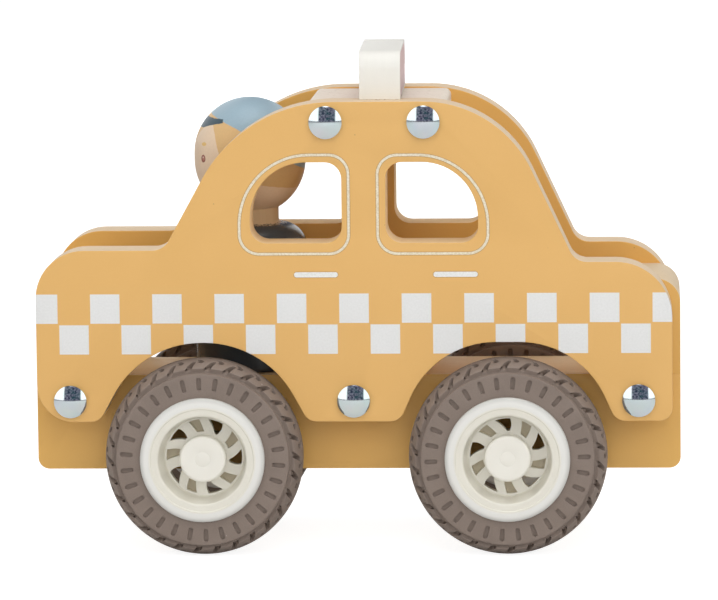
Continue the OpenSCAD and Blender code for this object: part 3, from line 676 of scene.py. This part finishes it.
rows += [(bead_r, -half_tyre, 0, 1, 1)]
columns = [0, 0.07, 0.15, 0.22, 0.29, 0.37, 0.42, 0.56, 0.7, 0.74, 0.86, 0.98, 1.0]
groove_columns, pocket_columns, notch_columns = (1, 5), (6, 8), (9, 11)
# cuts: rows, columns and depth of the sidewall pockets, the shoulder grooves and the short inner notches,
# the same on the other side, and of the nicks across the middle of the tread
side_cuts = [
    ((2, 7), pocket_columns, 0.8 * mm), ((11, 16), groove_columns, 2.0 * mm),
    ((15, 18), notch_columns, 1.6 * mm),
]
last_row = 2 * len(half_rows)
other_cuts = [((last_row - b, last_row - a), cut_columns, depth) for (a, b), cut_columns, depth in side_cuts]
tyre_cuts = side_cuts + other_cuts + [((19, 21), (0, 2), 0.8 * mm)]


def marked_grid(name, across, up, cuts):
    """A flat grid, two wide and two high, with the cells of each cut marked by a material slot's number."""
    bpy.ops.object.select_all(action="DESELECT")
    bpy.ops.mesh.primitive_grid_add(x_subdivisions=across, y_subdivisions=up, size=2)
    piece = bpy.context.object
    piece.name = name
    for face in piece.data.polygons:
        column = int((face.center.x + 1) / 2 * across)
        row = int((face.center.y + 1) / 2 * up)
        for number, (cut_rows, cut_columns) in enumerate(cuts, 1):
            if cut_rows[0] <= row < cut_rows[1] and cut_columns[0] <= column < cut_columns[1]:
                face.material_index = number
    return piece


def choose(piece, number):
    """Selects the marked faces of one cut, in edit mode."""
    bpy.ops.object.mode_set(mode="EDIT")
    bpy.ops.mesh.select_mode(type="FACE")
    bpy.ops.mesh.select_all(action="DESELECT")
    bpy.ops.object.mode_set(mode="OBJECT")
    for face in piece.data.polygons:
        face.select = face.material_index == number
    bpy.ops.object.mode_set(mode="EDIT")


def copy_round(piece, count):
    """Copies one sector round the wheel's axis and welds the copies."""
    bpy.ops.mesh.select_all(action="SELECT")
    bpy.ops.mesh.spin(steps=count, dupli=True, angle=2 * math.pi, center=(0, 0, 0), axis=(0, 1, 0))
    bpy.ops.mesh.select_all(action="SELECT")
    bpy.ops.mesh.remove_doubles(threshold=0.01 * mm)
    bpy.ops.mesh.normals_make_consistent(inside=False)
    bpy.ops.mesh.select_mode(type="VERT")
    bpy.ops.object.mode_set(mode="OBJECT")
    for face in piece.data.polygons:
        face.material_index = 0


across, up = len(columns) - 1, len(rows) - 1
tyre = marked_grid("tyre_pattern", across, up, [cut[:2] for cut in tyre_cuts])
for v in tyre.data.vertices:
    column = round((v.co.x + 1) / 2 * across)
    r, y, lean, pocket_wide, groove_wide = rows[round((v.co.y + 1) / 2 * up)]
    share = columns[column]
    for (first, last), wide in ((pocket_columns, pocket_wide), (groove_columns, groove_wide)):
        if first <= column <= last:
            middle = (columns[first] + columns[last]) / 2
            share = middle + wide * (columns[column] - middle)
    turn = (share + lean) * pitch
    v.co = (r * math.cos(turn), y, r * math.sin(turn))
for number, cut in enumerate(tyre_cuts, 1):
    choose(tyre, number)
    bpy.ops.mesh.extrude_region_shrink_fatten(TRANSFORM_OT_shrink_fatten={"value": cut[-1]})
copy_round(tyre, tyre_pitches)


def soften(piece, width, steps, angle):
    """Rounds every edge sharper than the angle, in degrees, by that width."""
    pick(piece)
    edge = piece.modifiers.new("edge", "BEVEL")
    edge.width = width
    edge.segments = steps
    edge.limit_method = "ANGLE"
    edge.angle_limit = math.radians(angle)
    edge.harden_normals = False
    bpy.ops.object.modifier_apply(modifier=edge.name)
    bpy.ops.object.shade_smooth_by_angle(angle=math.radians(40))


soften(tyre, 0.12 * mm, 2, 32)


def tyre_rubber(name):
    """Moulded rubber: matt taupe, paler where it is handled, with a fine eroded mould texture."""
    made, tree = blank(name)
    place = add(tree, "ShaderNodeTexCoord", {})["Object"]
    cloud = add(tree, "ShaderNodeTexNoise", {"Vector": place, "Scale": 1 / (7 * mm), "Detail": 4.0})["Fac"]
    grit = add(tree, "ShaderNodeTexNoise", {"Vector": place, "Scale": 1 / (0.35 * mm), "Detail": 3.0})["Fac"]
    tone = add(tree, "ShaderNodeMix", {"Factor": 0.45, "A": cloud, "B": grit})[0]
    colour = add(tree, "ShaderNodeMix", {
        "Factor": tone, "A": linear("#75675d"), "B": linear("#93847a"),
    }, data_type="RGBA")["Result"]
    lint = add(tree, "ShaderNodeTexVoronoi", {"Vector": place, "Scale": 1 / (7 * mm)})["Distance"]
    lint = add(tree, "ShaderNodeMapRange", {
        "Value": lint, "From Min": 0.02, "From Max": 0.03, "To Min": 0.5, "To Max": 0.0,
    })[0]
    colour = add(tree, "ShaderNodeMix", {
        "Factor": lint, "A": colour, "B": linear("#d8d0c8"),
    }, data_type="RGBA")["Result"]
    rough = add(tree, "ShaderNodeMapRange", {"Value": tone, "To Min": 0.5, "To Max": 0.66})[0]
    bump = add(tree, "ShaderNodeBump", {"Height": grit, "Strength": 0.35, "Distance": 0.05 * mm})[0]
    shader = add(tree, "ShaderNodeBsdfPrincipled", {
        "Base Color": colour, "Roughness": rough, "Normal": bump, "IOR": 1.5,
    })[0]
    add(tree, "ShaderNodeOutputMaterial", {"Surface": shader})
    return made


# how far each tyre and each rim stands turned, as the photograph shows the left pair, in degrees
tyre_turn = {("front", "left"): 1.2, ("rear", "left"): -5, ("front", "right"): 3, ("rear", "right"): 7}
rim_turn = {("front", "left"): -26.5, ("rear", "left"): 0, ("front", "right"): 14, ("rear", "right"): 40}


def fit_wheels(pattern, name, slot, turns):
    """Copies a piece modelled for a left wheel at the origin to all four wheels."""
    for (end, side), turned_by in turns.items():
        place = Matrix.Translation((axle_x[end], -wheel_y if side == "left" else wheel_y, axle_z))
        if side == "right":
            place = place @ Matrix.Scale(-1, 4, Vector((0, 1, 0)))
        place = place @ Matrix.Rotation(-math.radians(turned_by), 4, "Y")
        piece = start("moulded_" + end + "_" + side + "_" + name, pattern.data.copy())
        piece.data.transform(place)
        if side == "right":
            piece.data.flip_normals()
        settle(piece, end + "_wheels", slot, end + "_" + side + "_" + name)
    bpy.data.objects.remove(pattern)


tyre.data.materials.append(tyre_rubber("moulded_taupe_rubber"))
fit_wheels(tyre, "tyre", "tyre_rubber", tyre_turn)


# Rims: cream plastic, injection moulded, with a broad rounded flange and a deep dish.
# Five pairs of slanted spokes join hub and dish: a closed web fills each pair and the gaps between are open.
rim_r = 16.7 * mm
rim_face = (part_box("front_left_rim")[1][1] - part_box("front_left_rim")[0][1]) / 2
barrel_r = 14.4 * mm
dish_mouth = 11.74 * mm
step_r = 13.9 * mm
floor_r = 10.5 * mm
floor_top, floor_back = 1.5 * mm, -1.5 * mm
hub_r = 6.0 * mm
hub_end = 5.55 * mm
shoulder_w = 2.2 * mm
edge_y = half_tyre + 0.8 * mm
flange_round = 1.2 * mm
mouth_round = 0.7 * mm
step_d = 0.2 * mm
wall_r = 10.95 * mm
wall_round = 0.9 * mm
floor_edge = 0.2 * mm
# the outside of the wheel is -y
mouth_middle = (dish_mouth + mouth_round, rim_face - step_d - mouth_round)
section = [(x, -y) for x, y in arc(mouth_middle, mouth_round, 180, 90, 5)]
section += [(step_r - step_d, step_d - rim_face), (step_r, -rim_face)]
for across, out in arc((0, 0), 1, 90, 0, 12):
    section.append((rim_r - shoulder_w + shoulder_w * across, -edge_y - (rim_face - edge_y) * out))
section += [(rim_r, -half_tyre), (barrel_r, -half_tyre), (barrel_r, half_tyre), (rim_r, half_tyre)]
section += arc((rim_r - flange_round, rim_face - flange_round), flange_round, 0, 90, 8)
section += [(dish_mouth, rim_face), (wall_r, -floor_back)]
section += [(floor_r, -floor_back - floor_edge), (floor_r, floor_edge - floor_top)]
section += [(x, -y) for x, y in arc((wall_r - wall_round, floor_top + wall_round), wall_round, -60, 0, 4)]
section += [section[0]]
rim_ring = turned("rim_ring", section, 120)

# rows of one sector, and the rows and columns of its open gap and of its closed web
sector_radii = [5.7, 6.75, 7.2, 7.7, 8.2, 8.7, 9.2, 9.7, 10.15, 11.0]
parts_between = 4
gap_cut = ((1, 8), (0, parts_between))
web_cut = ((1, 8), (2 * parts_between, 3 * parts_between))
web_depth = 2.6 * mm
sector_start = 83.8


def sector_borders(r):
    """Angles at a radius in millimetres of the gap, the straight spoke, the web and the curved spoke."""
    gap = 0.9 * (r - 8.3) ** 2
    straight = 14.7 + 5.2 * (r - 8)
    web = 35.5 + 2.1 * (r - 8)
    curved = 51.5 + 2.3 * (r - 8)
    return [gap, straight, web, curved, 72 + gap]


across, up = 4 * parts_between, len(sector_radii) - 1
spokes = marked_grid("spokes", across, up, [gap_cut, web_cut])
for v in spokes.data.vertices:
    column = round((v.co.x + 1) / 2 * across)
    r = sector_radii[round((v.co.y + 1) / 2 * up)]
    edges = sector_borders(min(max(r, sector_radii[1]), sector_radii[-2]))
    k = min(column // parts_between, 3)
    share = column / parts_between - k
    turn = math.radians(sector_start + edges[k] + share * (edges[k + 1] - edges[k]))
    v.co = (r * mm * math.cos(turn), -floor_top, r * mm * math.sin(turn))
choose(spokes, 2)
bpy.ops.mesh.extrude_region_move(TRANSFORM_OT_translate={"value": (0, web_depth, 0)})
choose(spokes, 1)
bpy.ops.mesh.delete(type="FACE")
copy_round(spokes, 5)
if sum(face.normal.y for face in spokes.data.polygons) > 0:
    spokes.data.flip_normals()
thicken(spokes, floor_top - floor_back, -1)
soften(spokes, 0.32 * mm, 3, 40)

hub_back = rim_face
axle_r = (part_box("front_axle")[1][2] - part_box("front_axle")[0][2]) / 2
spigot_r, spigot_len = 3.5 * mm, 2.0 * mm
hub_round = 0.4 * mm
hub = [(axle_r, hub_back), (hub_r - hub_round, hub_back)]
hub += arc((hub_r - hub_round, hub_back - hub_round), hub_round, 90, 0, 3)
hub += [(hub_r, -hub_end), (spigot_r, -hub_end), (spigot_r, spigot_len - hub_end)]
hub += [(axle_r, spigot_len - hub_end), (axle_r, hub_back)]
hub_post = turned("hub_post", hub, 72)


def moulded_plastic(name, pale, deep, shoulder, edge, lit_centre, shaded_recess):
    """Injection-moulded plastic: satin, with a faint ripple of the mould and a soft cloudiness.

    The shoulder of the rim is whiter and cooler, a painted reflection, and its outer edge is darker,
    painted shade. Hub and spokes are paler, painted light, and the thin webs and the back of the wheel
    are darker, painted shade.
    """
    made, tree = blank(name)
    place = add(tree, "ShaderNodeTexCoord", {})["Object"]
    cloud = add(tree, "ShaderNodeTexNoise", {"Vector": place, "Scale": 1 / (9 * mm), "Detail": 3.0})["Fac"]
    grain = add(tree, "ShaderNodeTexNoise", {"Vector": place, "Scale": 1 / (1.2 * mm), "Detail": 2.0})["Fac"]
    tone = add(tree, "ShaderNodeMix", {"Factor": 0.3, "A": cloud, "B": grain})[0]
    colour = add(tree, "ShaderNodeMix", {
        "Factor": tone, "A": linear(deep), "B": linear(pale),
    }, data_type="RGBA")["Result"]
    at = add(tree, "ShaderNodeSeparateXYZ", {0: place})
    along = add(tree, "ShaderNodeMath", {0: at["X"]}, operation="ABSOLUTE")[0]
    from_axle = add(tree, "ShaderNodeCombineXYZ", {"X": along, "Z": at["Z"]})[0]
    from_axle = add(tree, "ShaderNodeVectorMath", {
        0: from_axle, 1: (axle_x["rear"], 0, axle_z),
    }, operation="DISTANCE")["Value"]
    # a whiter, cooler shoulder is a painted reflection; a darker outer edge is painted shade
    for tint, first, last in (
        (shoulder, step_r, step_r + 0.7 * mm),
        (edge, rim_r - 1.5 * mm, rim_r - 0.1 * mm),
    ):
        share = add(tree, "ShaderNodeMapRange", {
            "Value": from_axle, "From Min": first, "From Max": last,
        }, interpolation_type="SMOOTHSTEP")[0]
        colour = add(tree, "ShaderNodeMix", {
            "Factor": share, "A": colour, "B": linear(tint),
        }, data_type="RGBA")["Result"]
    away = add(tree, "ShaderNodeMath", {0: at["Y"]}, operation="ABSOLUTE")[0]
    sunk = add(tree, "ShaderNodeMapRange", {
        "Value": away, "From Min": wheel_y - 0.9 * mm, "From Max": wheel_y + 1.2 * mm,
        "To Min": 1.0, "To Max": 0.0,
    }, interpolation_type="SMOOTHSTEP")[0]
    # hub and spokes paler: painted light; the webs and the back of the wheel darker: painted shade
    within = add(tree, "ShaderNodeMath", {0: from_axle, 1: floor_r}, operation="LESS_THAN")[0]
    colour = add(tree, "ShaderNodeMix", {
        "Factor": within, "A": colour, "B": linear(lit_centre),
    }, data_type="RGBA")["Result"]
    share = add(tree, "ShaderNodeMath", {0: sunk, 1: within}, operation="MULTIPLY")[0]
    colour = add(tree, "ShaderNodeMix", {
        "Factor": share, "A": colour, "B": linear(shaded_recess),
    }, data_type="RGBA")["Result"]
    rough = add(tree, "ShaderNodeMapRange", {"Value": grain, "To Min": 0.26, "To Max": 0.34})[0]
    bump = add(tree, "ShaderNodeBump", {"Height": grain, "Strength": 0.1, "Distance": 0.02 * mm})[0]
    shader = add(tree, "ShaderNodeBsdfPrincipled", {
        "Base Color": colour, "Roughness": rough, "Normal": bump, "IOR": 1.53,
    })[0]
    add(tree, "ShaderNodeOutputMaterial", {"Surface": shader})
    return made


cream_plastic = moulded_plastic(
    "moulded_cream_plastic", pale="#eae7db", deep="#e1ddd0", shoulder="#e8e7e2", edge="#cfcec9",
    lit_centre="#eeebe1", shaded_recess="#dcd2ba",
)
rim = join([rim_ring, spokes, hub_post], "rim_pattern")
rim.data.materials.append(cream_plastic)
fit_wheels(rim, "rim", "rim_plastic", rim_turn)


# Hub caps: flat moulded discs of the same plastic, pressed into the hub posts over the axle ends.
# Each has a rounded edge and the faint round mark of its sprue.
cap_face = 7.15 * mm
cap_r = 6.2 * mm
cap_round = 0.8 * mm
mark_r, mark_w, mark_d = 2.0 * mm, 0.12 * mm, 0.06 * mm
disc = [(0, spigot_len - hub_end), (spigot_r, spigot_len - hub_end), (spigot_r, -hub_end), (cap_r, -hub_end)]
disc += [(x, -y) for x, y in arc((cap_r - cap_round, cap_face - cap_round), cap_round, 0, 90, 6)]
disc += [(mark_r + mark_w, -cap_face), (mark_r, mark_d - cap_face), (mark_r - mark_w, -cap_face)]
disc += [(0, -cap_face)]
hub_cap = turned("hub_cap_pattern", disc, 72)
hub_cap.data.materials.append(cream_plastic)
fit_wheels(hub_cap, "hub_cap", "rim_plastic", rim_turn)


# Driver's body: a turned peg with a flat foot, rounded shoulders and a short neck.
# It was dipped in slate paint up to the neck, which is left as bare wood.
body_low, body_high = (Vector(c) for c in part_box("driver_body"))
driver_x = (body_low.x + body_high.x) / 2
body_r = (body_high.x - body_low.x) / 2
neck_r = 7.6 * mm
shoulder_z = 86.5 * mm
shoulder_round = body_r - neck_r - 0.8 * mm
foot_round, collar_round = 1.2 * mm, 0.8 * mm
peg = [(0, body_low.z), (body_r - foot_round, body_low.z)]
peg += arc((body_r - foot_round, body_low.z + foot_round), foot_round, -90, 0, 6)
peg += arc((body_r - shoulder_round, shoulder_z - shoulder_round), shoulder_round, 0, 90, 14)
peg += arc((neck_r + collar_round, shoulder_z + collar_round), collar_round, 270, 180, 5)
peg += [(neck_r, body_high.z), (0, body_high.z)]


def dipped_peg(name, line):
    """Satin slate paint over turned timber, with a ragged brush edge and bare wood above the line."""
    made, tree = blank(name)
    place = add(tree, "ShaderNodeTexCoord", {})["Object"]
    at = add(tree, "ShaderNodeSeparateXYZ", {0: place})
    bristle = add(tree, "ShaderNodeMapping", {
        "Vector": place, "Scale": (1 / (0.55 * mm), 1 / (0.55 * mm), 1 / (3 * mm)),
    })[0]
    ragged = add(tree, "ShaderNodeTexNoise", {"Vector": bristle, "Scale": 1.0, "Detail": 3.0})["Fac"]
    height = add(tree, "ShaderNodeMath", {0: ragged, 1: 1.5 * mm, 2: at["Z"]}, operation="MULTIPLY_ADD")[0]
    painted = add(tree, "ShaderNodeMapRange", {
        "Value": height, "From Min": line + 0.7 * mm, "From Max": line + 0.82 * mm,
        "To Min": 1.0, "To Max": 0.0,
    })[0]
    upright = add(tree, "ShaderNodeMapping", {
        "Vector": place, "Scale": (1 / (0.9 * mm), 1 / (0.9 * mm), 1 / (16 * mm)),
    })[0]
    grain = add(tree, "ShaderNodeTexNoise", {"Vector": upright, "Scale": 1.0, "Detail": 5.0})["Fac"]
    fine = add(tree, "ShaderNodeTexNoise", {"Vector": place, "Scale": 1 / (0.5 * mm), "Detail": 2.0})["Fac"]
    wood = add(tree, "ShaderNodeMix", {
        "Factor": grain, "A": linear("#d2b58c"), "B": linear("#dcc29d"),
    }, data_type="RGBA")["Result"]
    tone = add(tree, "ShaderNodeMix", {"Factor": 0.5, "A": grain, "B": fine})[0]
    slate = add(tree, "ShaderNodeMix", {
        "Factor": tone, "A": linear("#3f4448"), "B": linear("#4d5256"),
    }, data_type="RGBA")["Result"]
    colour = add(tree, "ShaderNodeMix", {
        "Factor": painted, "A": wood, "B": slate,
    }, data_type="RGBA")["Result"]
    rough = add(tree, "ShaderNodeMapRange", {"Value": painted, "To Min": 0.65, "To Max": 0.26})[0]
    relief = add(tree, "ShaderNodeMix", {"Factor": painted, "A": grain, "B": fine})[0]
    bump = add(tree, "ShaderNodeBump", {"Height": relief, "Strength": 0.3, "Distance": 0.04 * mm})[0]
    shader = add(tree, "ShaderNodeBsdfPrincipled", {
        "Base Color": colour, "Roughness": rough, "Normal": bump, "IOR": 1.46,
    })[0]
    add(tree, "ShaderNodeOutputMaterial", {"Surface": shader})
    return made


body = turned("painted_driver_body", peg, 128, "Z")
body.data.transform(Matrix.Translation((driver_x, 0, 0)))
body.data.materials.append(dipped_peg("slate_dipped_timber", shoulder_z))
settle(body, "driver", "slate_paint", "driver_body")


# Driver's head: a turned ball, a little taller than wide, glued on the neck with a dowel.
# Cap, visor, hair, brows and eyes are brushed on in flat satin paint, and the skin is the pale wood's own.
# The pale glint on each eye is a painted highlight.
head_low, head_high = (Vector(c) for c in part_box("driver_head"))
head_r = (head_high.x - head_low.x) / 2
low_ball, high_ball = 103.75 * mm, head_high.z - head_r
cut = math.degrees(math.asin((head_low.z - low_ball) / head_r))
ball = [(0, head_low.z)]
ball += arc((0, low_ball), head_r, cut, 0, 30)
ball += arc((0, high_ball), head_r, 0, 90, 44)
ball[-1] = (0, head_high.z)
head_middle = Vector((driver_x, 0, 104.7 * mm))
# Painted regions, in millimetres from the middle of the head: each is where every
# a*x + b*|y| + c*z + d is above zero. The face looks towards -x.
head_regions = [
    ("#d9b37c", [(1, 0, 0.2357, 7.077), (0.171, 0, 1, 6.26), (1.2, 0, 1, 8.8)]),
    ("#d9b37c", [(0, 0, 1, -4.6), (0, -1.33, 1, -0.813), (-1, 0, 0, -5)]),
    ("#99b1be", [(0.465, 0, 1, -7.12)]),
    ("#99b1be", [(0.672, 0, 1, -6.75)]),
    ("#243f4b", [
        (0, -0.02, 1, -8.1), (0, -0.3, 1, -6.6), (0, -0.05, -1, 11.2), (0, -1, -1, 20.2), (-1, 0, 0, 0),
    ]),
]
# painted spots: colour, place from the middle of the head, half width and half height
head_spots = [
    ("#e1b96e", (-11.6, 8.87, 3.96), 1.15, 0.5),
    ("#8f4e40", (-11.96, 9.21, 0.05), 1.02, 1.05),
    # the last two are a lighter middle of the eye and a pale glint on it, a painted highlight
    ("#ad7260", (-11.85, 9.35, 0.1), 0.6, 0.6),
    ("#e6cbbb", (-12.0, 9.16, 0.42), 0.27, 0.27),
]


def painted_head(name):
    """Flat satin brush paint on fine sanded wood; the edges wander by a tenth of a millimetre or so."""
    made, tree = blank(name)
    place = add(tree, "ShaderNodeTexCoord", {})["Object"]
    from_middle = add(tree, "ShaderNodeVectorMath", {0: place, 1: head_middle}, operation="SUBTRACT")[0]
    in_mm = add(tree, "ShaderNodeVectorMath", {0: from_middle, "Scale": 1 / mm}, operation="SCALE")[0]
    waver = add(tree, "ShaderNodeTexNoise", {
        "Vector": place, "Scale": 1 / (1.6 * mm), "Detail": 2.0,
    })["Color"]
    waver = add(tree, "ShaderNodeVectorMath", {
        0: waver, 1: (0.3, 0.3, 0.3), 2: (-0.15, -0.15, -0.15),
    }, operation="MULTIPLY_ADD")[0]
    at = add(tree, "ShaderNodeVectorMath", {0: in_mm, 1: waver}, operation="ADD")[0]
    part = add(tree, "ShaderNodeSeparateXYZ", {0: at})
    aside = add(tree, "ShaderNodeMath", {0: part["Y"]}, operation="ABSOLUTE")[0]
    at = add(tree, "ShaderNodeCombineXYZ", {"X": part["X"], "Y": aside, "Z": part["Z"]})[0]

    upright = add(tree, "ShaderNodeMapping", {
        "Vector": place, "Scale": (1 / (1.1 * mm), 1 / (1.1 * mm), 1 / (14 * mm)),
    })[0]
    grain = add(tree, "ShaderNodeTexNoise", {"Vector": upright, "Scale": 1.0, "Detail": 5.0})["Fac"]
    fine = add(tree, "ShaderNodeTexNoise", {"Vector": place, "Scale": 1 / (0.5 * mm), "Detail": 2.0})["Fac"]
    colour = add(tree, "ShaderNodeMix", {
        "Factor": grain, "A": linear("#e3c8aa"), "B": linear("#e9d0b4"),
    }, data_type="RGBA")["Result"]
    for code, limits in head_regions:
        inside = None
        for a, b, c, d in limits:
            reach = add(tree, "ShaderNodeVectorMath", {0: at, 1: (a, b, c)}, operation="DOT_PRODUCT")["Value"]
            reach = add(tree, "ShaderNodeMath", {0: reach, 1: d}, operation="ADD")[0]
            if inside is None:
                inside = reach
            else:
                inside = add(tree, "ShaderNodeMath", {0: inside, 1: reach}, operation="MINIMUM")[0]
        share = add(tree, "ShaderNodeMapRange", {"Value": inside, "From Min": -0.08, "From Max": 0.08})[0]
        colour = add(tree, "ShaderNodeMix", {
            "Factor": share, "A": colour, "B": linear(code),
        }, data_type="RGBA")["Result"]
    for code, middle, half_w, half_h in head_spots:
        gap = add(tree, "ShaderNodeVectorMath", {0: at, 1: middle}, operation="SUBTRACT")[0]
        gap = add(tree, "ShaderNodeVectorMath", {
            0: gap, 1: (1 / half_w, 1 / half_w, 1 / half_h),
        }, operation="MULTIPLY")[0]
        gap = add(tree, "ShaderNodeVectorMath", {0: gap}, operation="LENGTH")["Value"]
        share = add(tree, "ShaderNodeMapRange", {
            "Value": gap, "From Min": 0.92, "From Max": 1.08, "To Min": 1.0, "To Max": 0.0,
        })[0]
        colour = add(tree, "ShaderNodeMix", {
            "Factor": share, "A": colour, "B": linear(code),
        }, data_type="RGBA")["Result"]
    brush_mottle = add(tree, "ShaderNodeMapRange", {"Value": fine, "To Min": 0.93, "To Max": 1.05})[0]
    colour = add(tree, "ShaderNodeMix", {
        "Factor": 1.0, "A": colour, "B": brush_mottle,
    }, data_type="RGBA", blend_type="MULTIPLY")["Result"]
    rough = add(tree, "ShaderNodeMapRange", {"Value": fine, "To Min": 0.4, "To Max": 0.54})[0]
    stroke = add(tree, "ShaderNodeTexNoise", {"Vector": place, "Scale": 1 / (2.0 * mm), "Detail": 3.0})["Fac"]
    relief = add(tree, "ShaderNodeMix", {"Factor": 0.7, "A": fine, "B": stroke})[0]
    bump = add(tree, "ShaderNodeBump", {"Height": relief, "Strength": 0.6, "Distance": 0.1 * mm})[0]
    shader = add(tree, "ShaderNodeBsdfPrincipled", {
        "Base Color": colour, "Roughness": rough, "Normal": bump, "IOR": 1.46,
        "Coat Weight": 0.1, "Coat Roughness": 0.28,
    })[0]
    add(tree, "ShaderNodeOutputMaterial", {"Surface": shader})
    return made


head = turned("painted_driver_head", ball, 128, "Z")
head.data.transform(Matrix.Translation((driver_x, 0, 0)))
head.data.materials.append(painted_head("brush_painted_turned_wood"))
settle(head, "driver", "head_paint", "driver_head")


# Studio: a white sweep for the floor, soft boxes on all sides and above, and an even white room.
# Reflections see white walls to the sides, a bright panel overhead and an unlit room behind the camera.
bpy.ops.object.select_all(action="DESELECT")
bpy.ops.mesh.primitive_plane_add(size=14)
floor = bpy.context.object
floor.name = "studio_floor"
sweep, tree = blank("white_paper_sweep")
path = add(tree, "ShaderNodeLightPath", {})
paper = add(tree, "ShaderNodeTexNoise", {"Scale": 300.0})["Fac"]
paper = add(tree, "ShaderNodeMix", {
    "Factor": paper, "A": linear("#e6e6e6"), "B": linear("#e9e9e9"),
}, data_type="RGBA")["Result"]
seen = add(tree, "ShaderNodeBsdfDiffuse", {"Color": (0.5, 0.5, 0.5, 1)})[0]
glow = add(tree, "ShaderNodeEmission", {"Color": (1, 1, 1, 1), "Strength": 0.86})[0]
seen = add(tree, "ShaderNodeAddShader", {0: seen, 1: glow})[0]
plain = add(tree, "ShaderNodeBsdfDiffuse", {"Color": paper})[0]
mirrored_too = add(tree, "ShaderNodeMath", {
    0: path["Is Glossy Ray"], 1: 0.08, 2: path["Is Camera Ray"],
}, operation="MULTIPLY_ADD")[0]
surface = add(tree, "ShaderNodeMixShader", {0: mirrored_too, 1: plain, 2: seen})[0]
add(tree, "ShaderNodeOutputMaterial", {"Surface": surface})
floor.data.materials.append(sweep)

room = bpy.data.worlds.new("studio_room")
bpy.context.scene.world = room
room.use_nodes = True
tree = room.node_tree
tree.nodes.clear()
path = add(tree, "ShaderNodeLightPath", {})
look = add(tree, "ShaderNodeTexCoord", {})["Generated"]
toward = add(tree, "ShaderNodeSeparateXYZ", {0: look})
behind = add(tree, "ShaderNodeMath", {0: toward["Y"], 1: -2.0, 2: 2.0}, operation="MULTIPLY_ADD")[0]
behind = add(tree, "ShaderNodeMath", {0: behind, 1: 0.5}, operation="POWER")[0]
aside = add(tree, "ShaderNodeMath", {0: toward["X"], 1: behind}, operation="DIVIDE")[0]
aside = add(tree, "ShaderNodeMath", {0: aside, 1: 0.05}, operation="SUBTRACT")[0]
aside = add(tree, "ShaderNodeMath", {0: aside}, operation="ABSOLUTE")[0]
wall = add(tree, "ShaderNodeMapRange", {"Value": aside, "From Min": 0.31, "From Max": 0.35})[0]
clutter = add(tree, "ShaderNodeTexNoise", {"Vector": look, "Scale": 7.0, "Detail": 5.0})["Fac"]
clutter = add(tree, "ShaderNodeMapRange", {"Value": clutter, "From Min": 0.4, "From Max": 0.68})[0]
depth = add(tree, "ShaderNodeTexNoise", {"Vector": look, "Scale": 2.0, "Detail": 2.0})["Fac"]
depth = add(tree, "ShaderNodeMapRange", {"Value": depth, "From Min": 0.4, "From Max": 0.6})[0]
unlit = add(tree, "ShaderNodeMix", {
    "Factor": depth, "A": linear("#2c2a44"), "B": linear("#2c4a52"),
}, data_type="RGBA")["Result"]
unlit = add(tree, "ShaderNodeMix", {
    "Factor": clutter, "A": unlit, "B": linear("#9a96a6"),
}, data_type="RGBA")["Result"]
mirror = add(tree, "ShaderNodeMix", {
    "Factor": wall, "A": unlit, "B": (1.4, 1.4, 1.4, 1),
}, data_type="RGBA")["Result"]
overhead = add(tree, "ShaderNodeMapRange", {"Value": toward["Z"], "From Min": 0.93, "From Max": 0.97})[0]
mirror = add(tree, "ShaderNodeMix", {
    "Factor": overhead, "A": mirror, "B": (4, 4, 4, 1),
}, data_type="RGBA")["Result"]
above = add(tree, "ShaderNodeMapRange", {"Value": toward["Z"], "From Min": 0.02, "From Max": 0.05})[0]
mirror = add(tree, "ShaderNodeMix", {
    "Factor": above, "A": linear("#6f6c78"), "B": mirror,
}, data_type="RGBA")["Result"]
light = add(tree, "ShaderNodeMix", {
    "Factor": path["Is Glossy Ray"], "A": (0.36, 0.36, 0.36, 1), "B": mirror,
}, data_type="RGBA")["Result"]
seen = add(tree, "ShaderNodeMath", {
    0: path["Is Camera Ray"], 1: path["Is Transmission Ray"],
}, operation="MAXIMUM")[0]
light = add(tree, "ShaderNodeMix", {
    "Factor": seen, "A": light, "B": (1, 1, 1, 1),
}, data_type="RGBA")["Result"]
background = add(tree, "ShaderNodeBackground", {"Color": light})[0]
add(tree, "ShaderNodeOutputWorld", {"Surface": background})

for name, spot, size, power in (
    ("left_soft_box", (-1.1, -1.2, 0.7), 1.0, 3.4),
    ("right_soft_box", (1.1, -1.2, 0.7), 1.0, 5.0),
    ("front_soft_box", (0.15, -1.65, 0.65), 1.2, 6.2),
    ("top_soft_box", (0.1, -0.45, 1.45), 1.2, 8.5),
    ("rear_soft_box", (-0.2, 1.6, 0.3), 1.2, 9.0),
):
    lamp = bpy.data.lights.new(name, "AREA")
    lamp.size = size
    lamp.energy = power
    box = bpy.data.objects.new(name, lamp)
    box.location = spot
    box.rotation_euler = (Vector((0, 0, 0.06)) - Vector(spot)).to_track_quat("-Z", "Y").to_euler()
    box.visible_glossy = False
    bpy.context.scene.collection.objects.link(box)


# Camera: as the photograph was taken, from the left, a little above and a little behind the middle.
lens = bpy.data.cameras.new("photo_camera")
lens.sensor_fit = "HORIZONTAL"
lens.sensor_width = 36
lens.lens = 257.3
camera = bpy.data.objects.new("photo_camera", lens)
yaw, pitch_down, roll_angle = math.radians(3.3), math.radians(7.084), math.radians(-0.609)
camera.matrix_world = (
    Matrix.Translation((79.4 * mm, -1385.1 * mm, 237.4 * mm)) @ Matrix.Rotation(yaw, 4, "Z")
    @ Matrix.Rotation(math.pi / 2 - pitch_down, 4, "X") @ Matrix.Rotation(roll_angle, 4, "Z")
)
bpy.context.scene.collection.objects.link(camera)
bpy.context.scene.camera = camera
bpy.context.scene.view_settings.view_transform = "Standard"
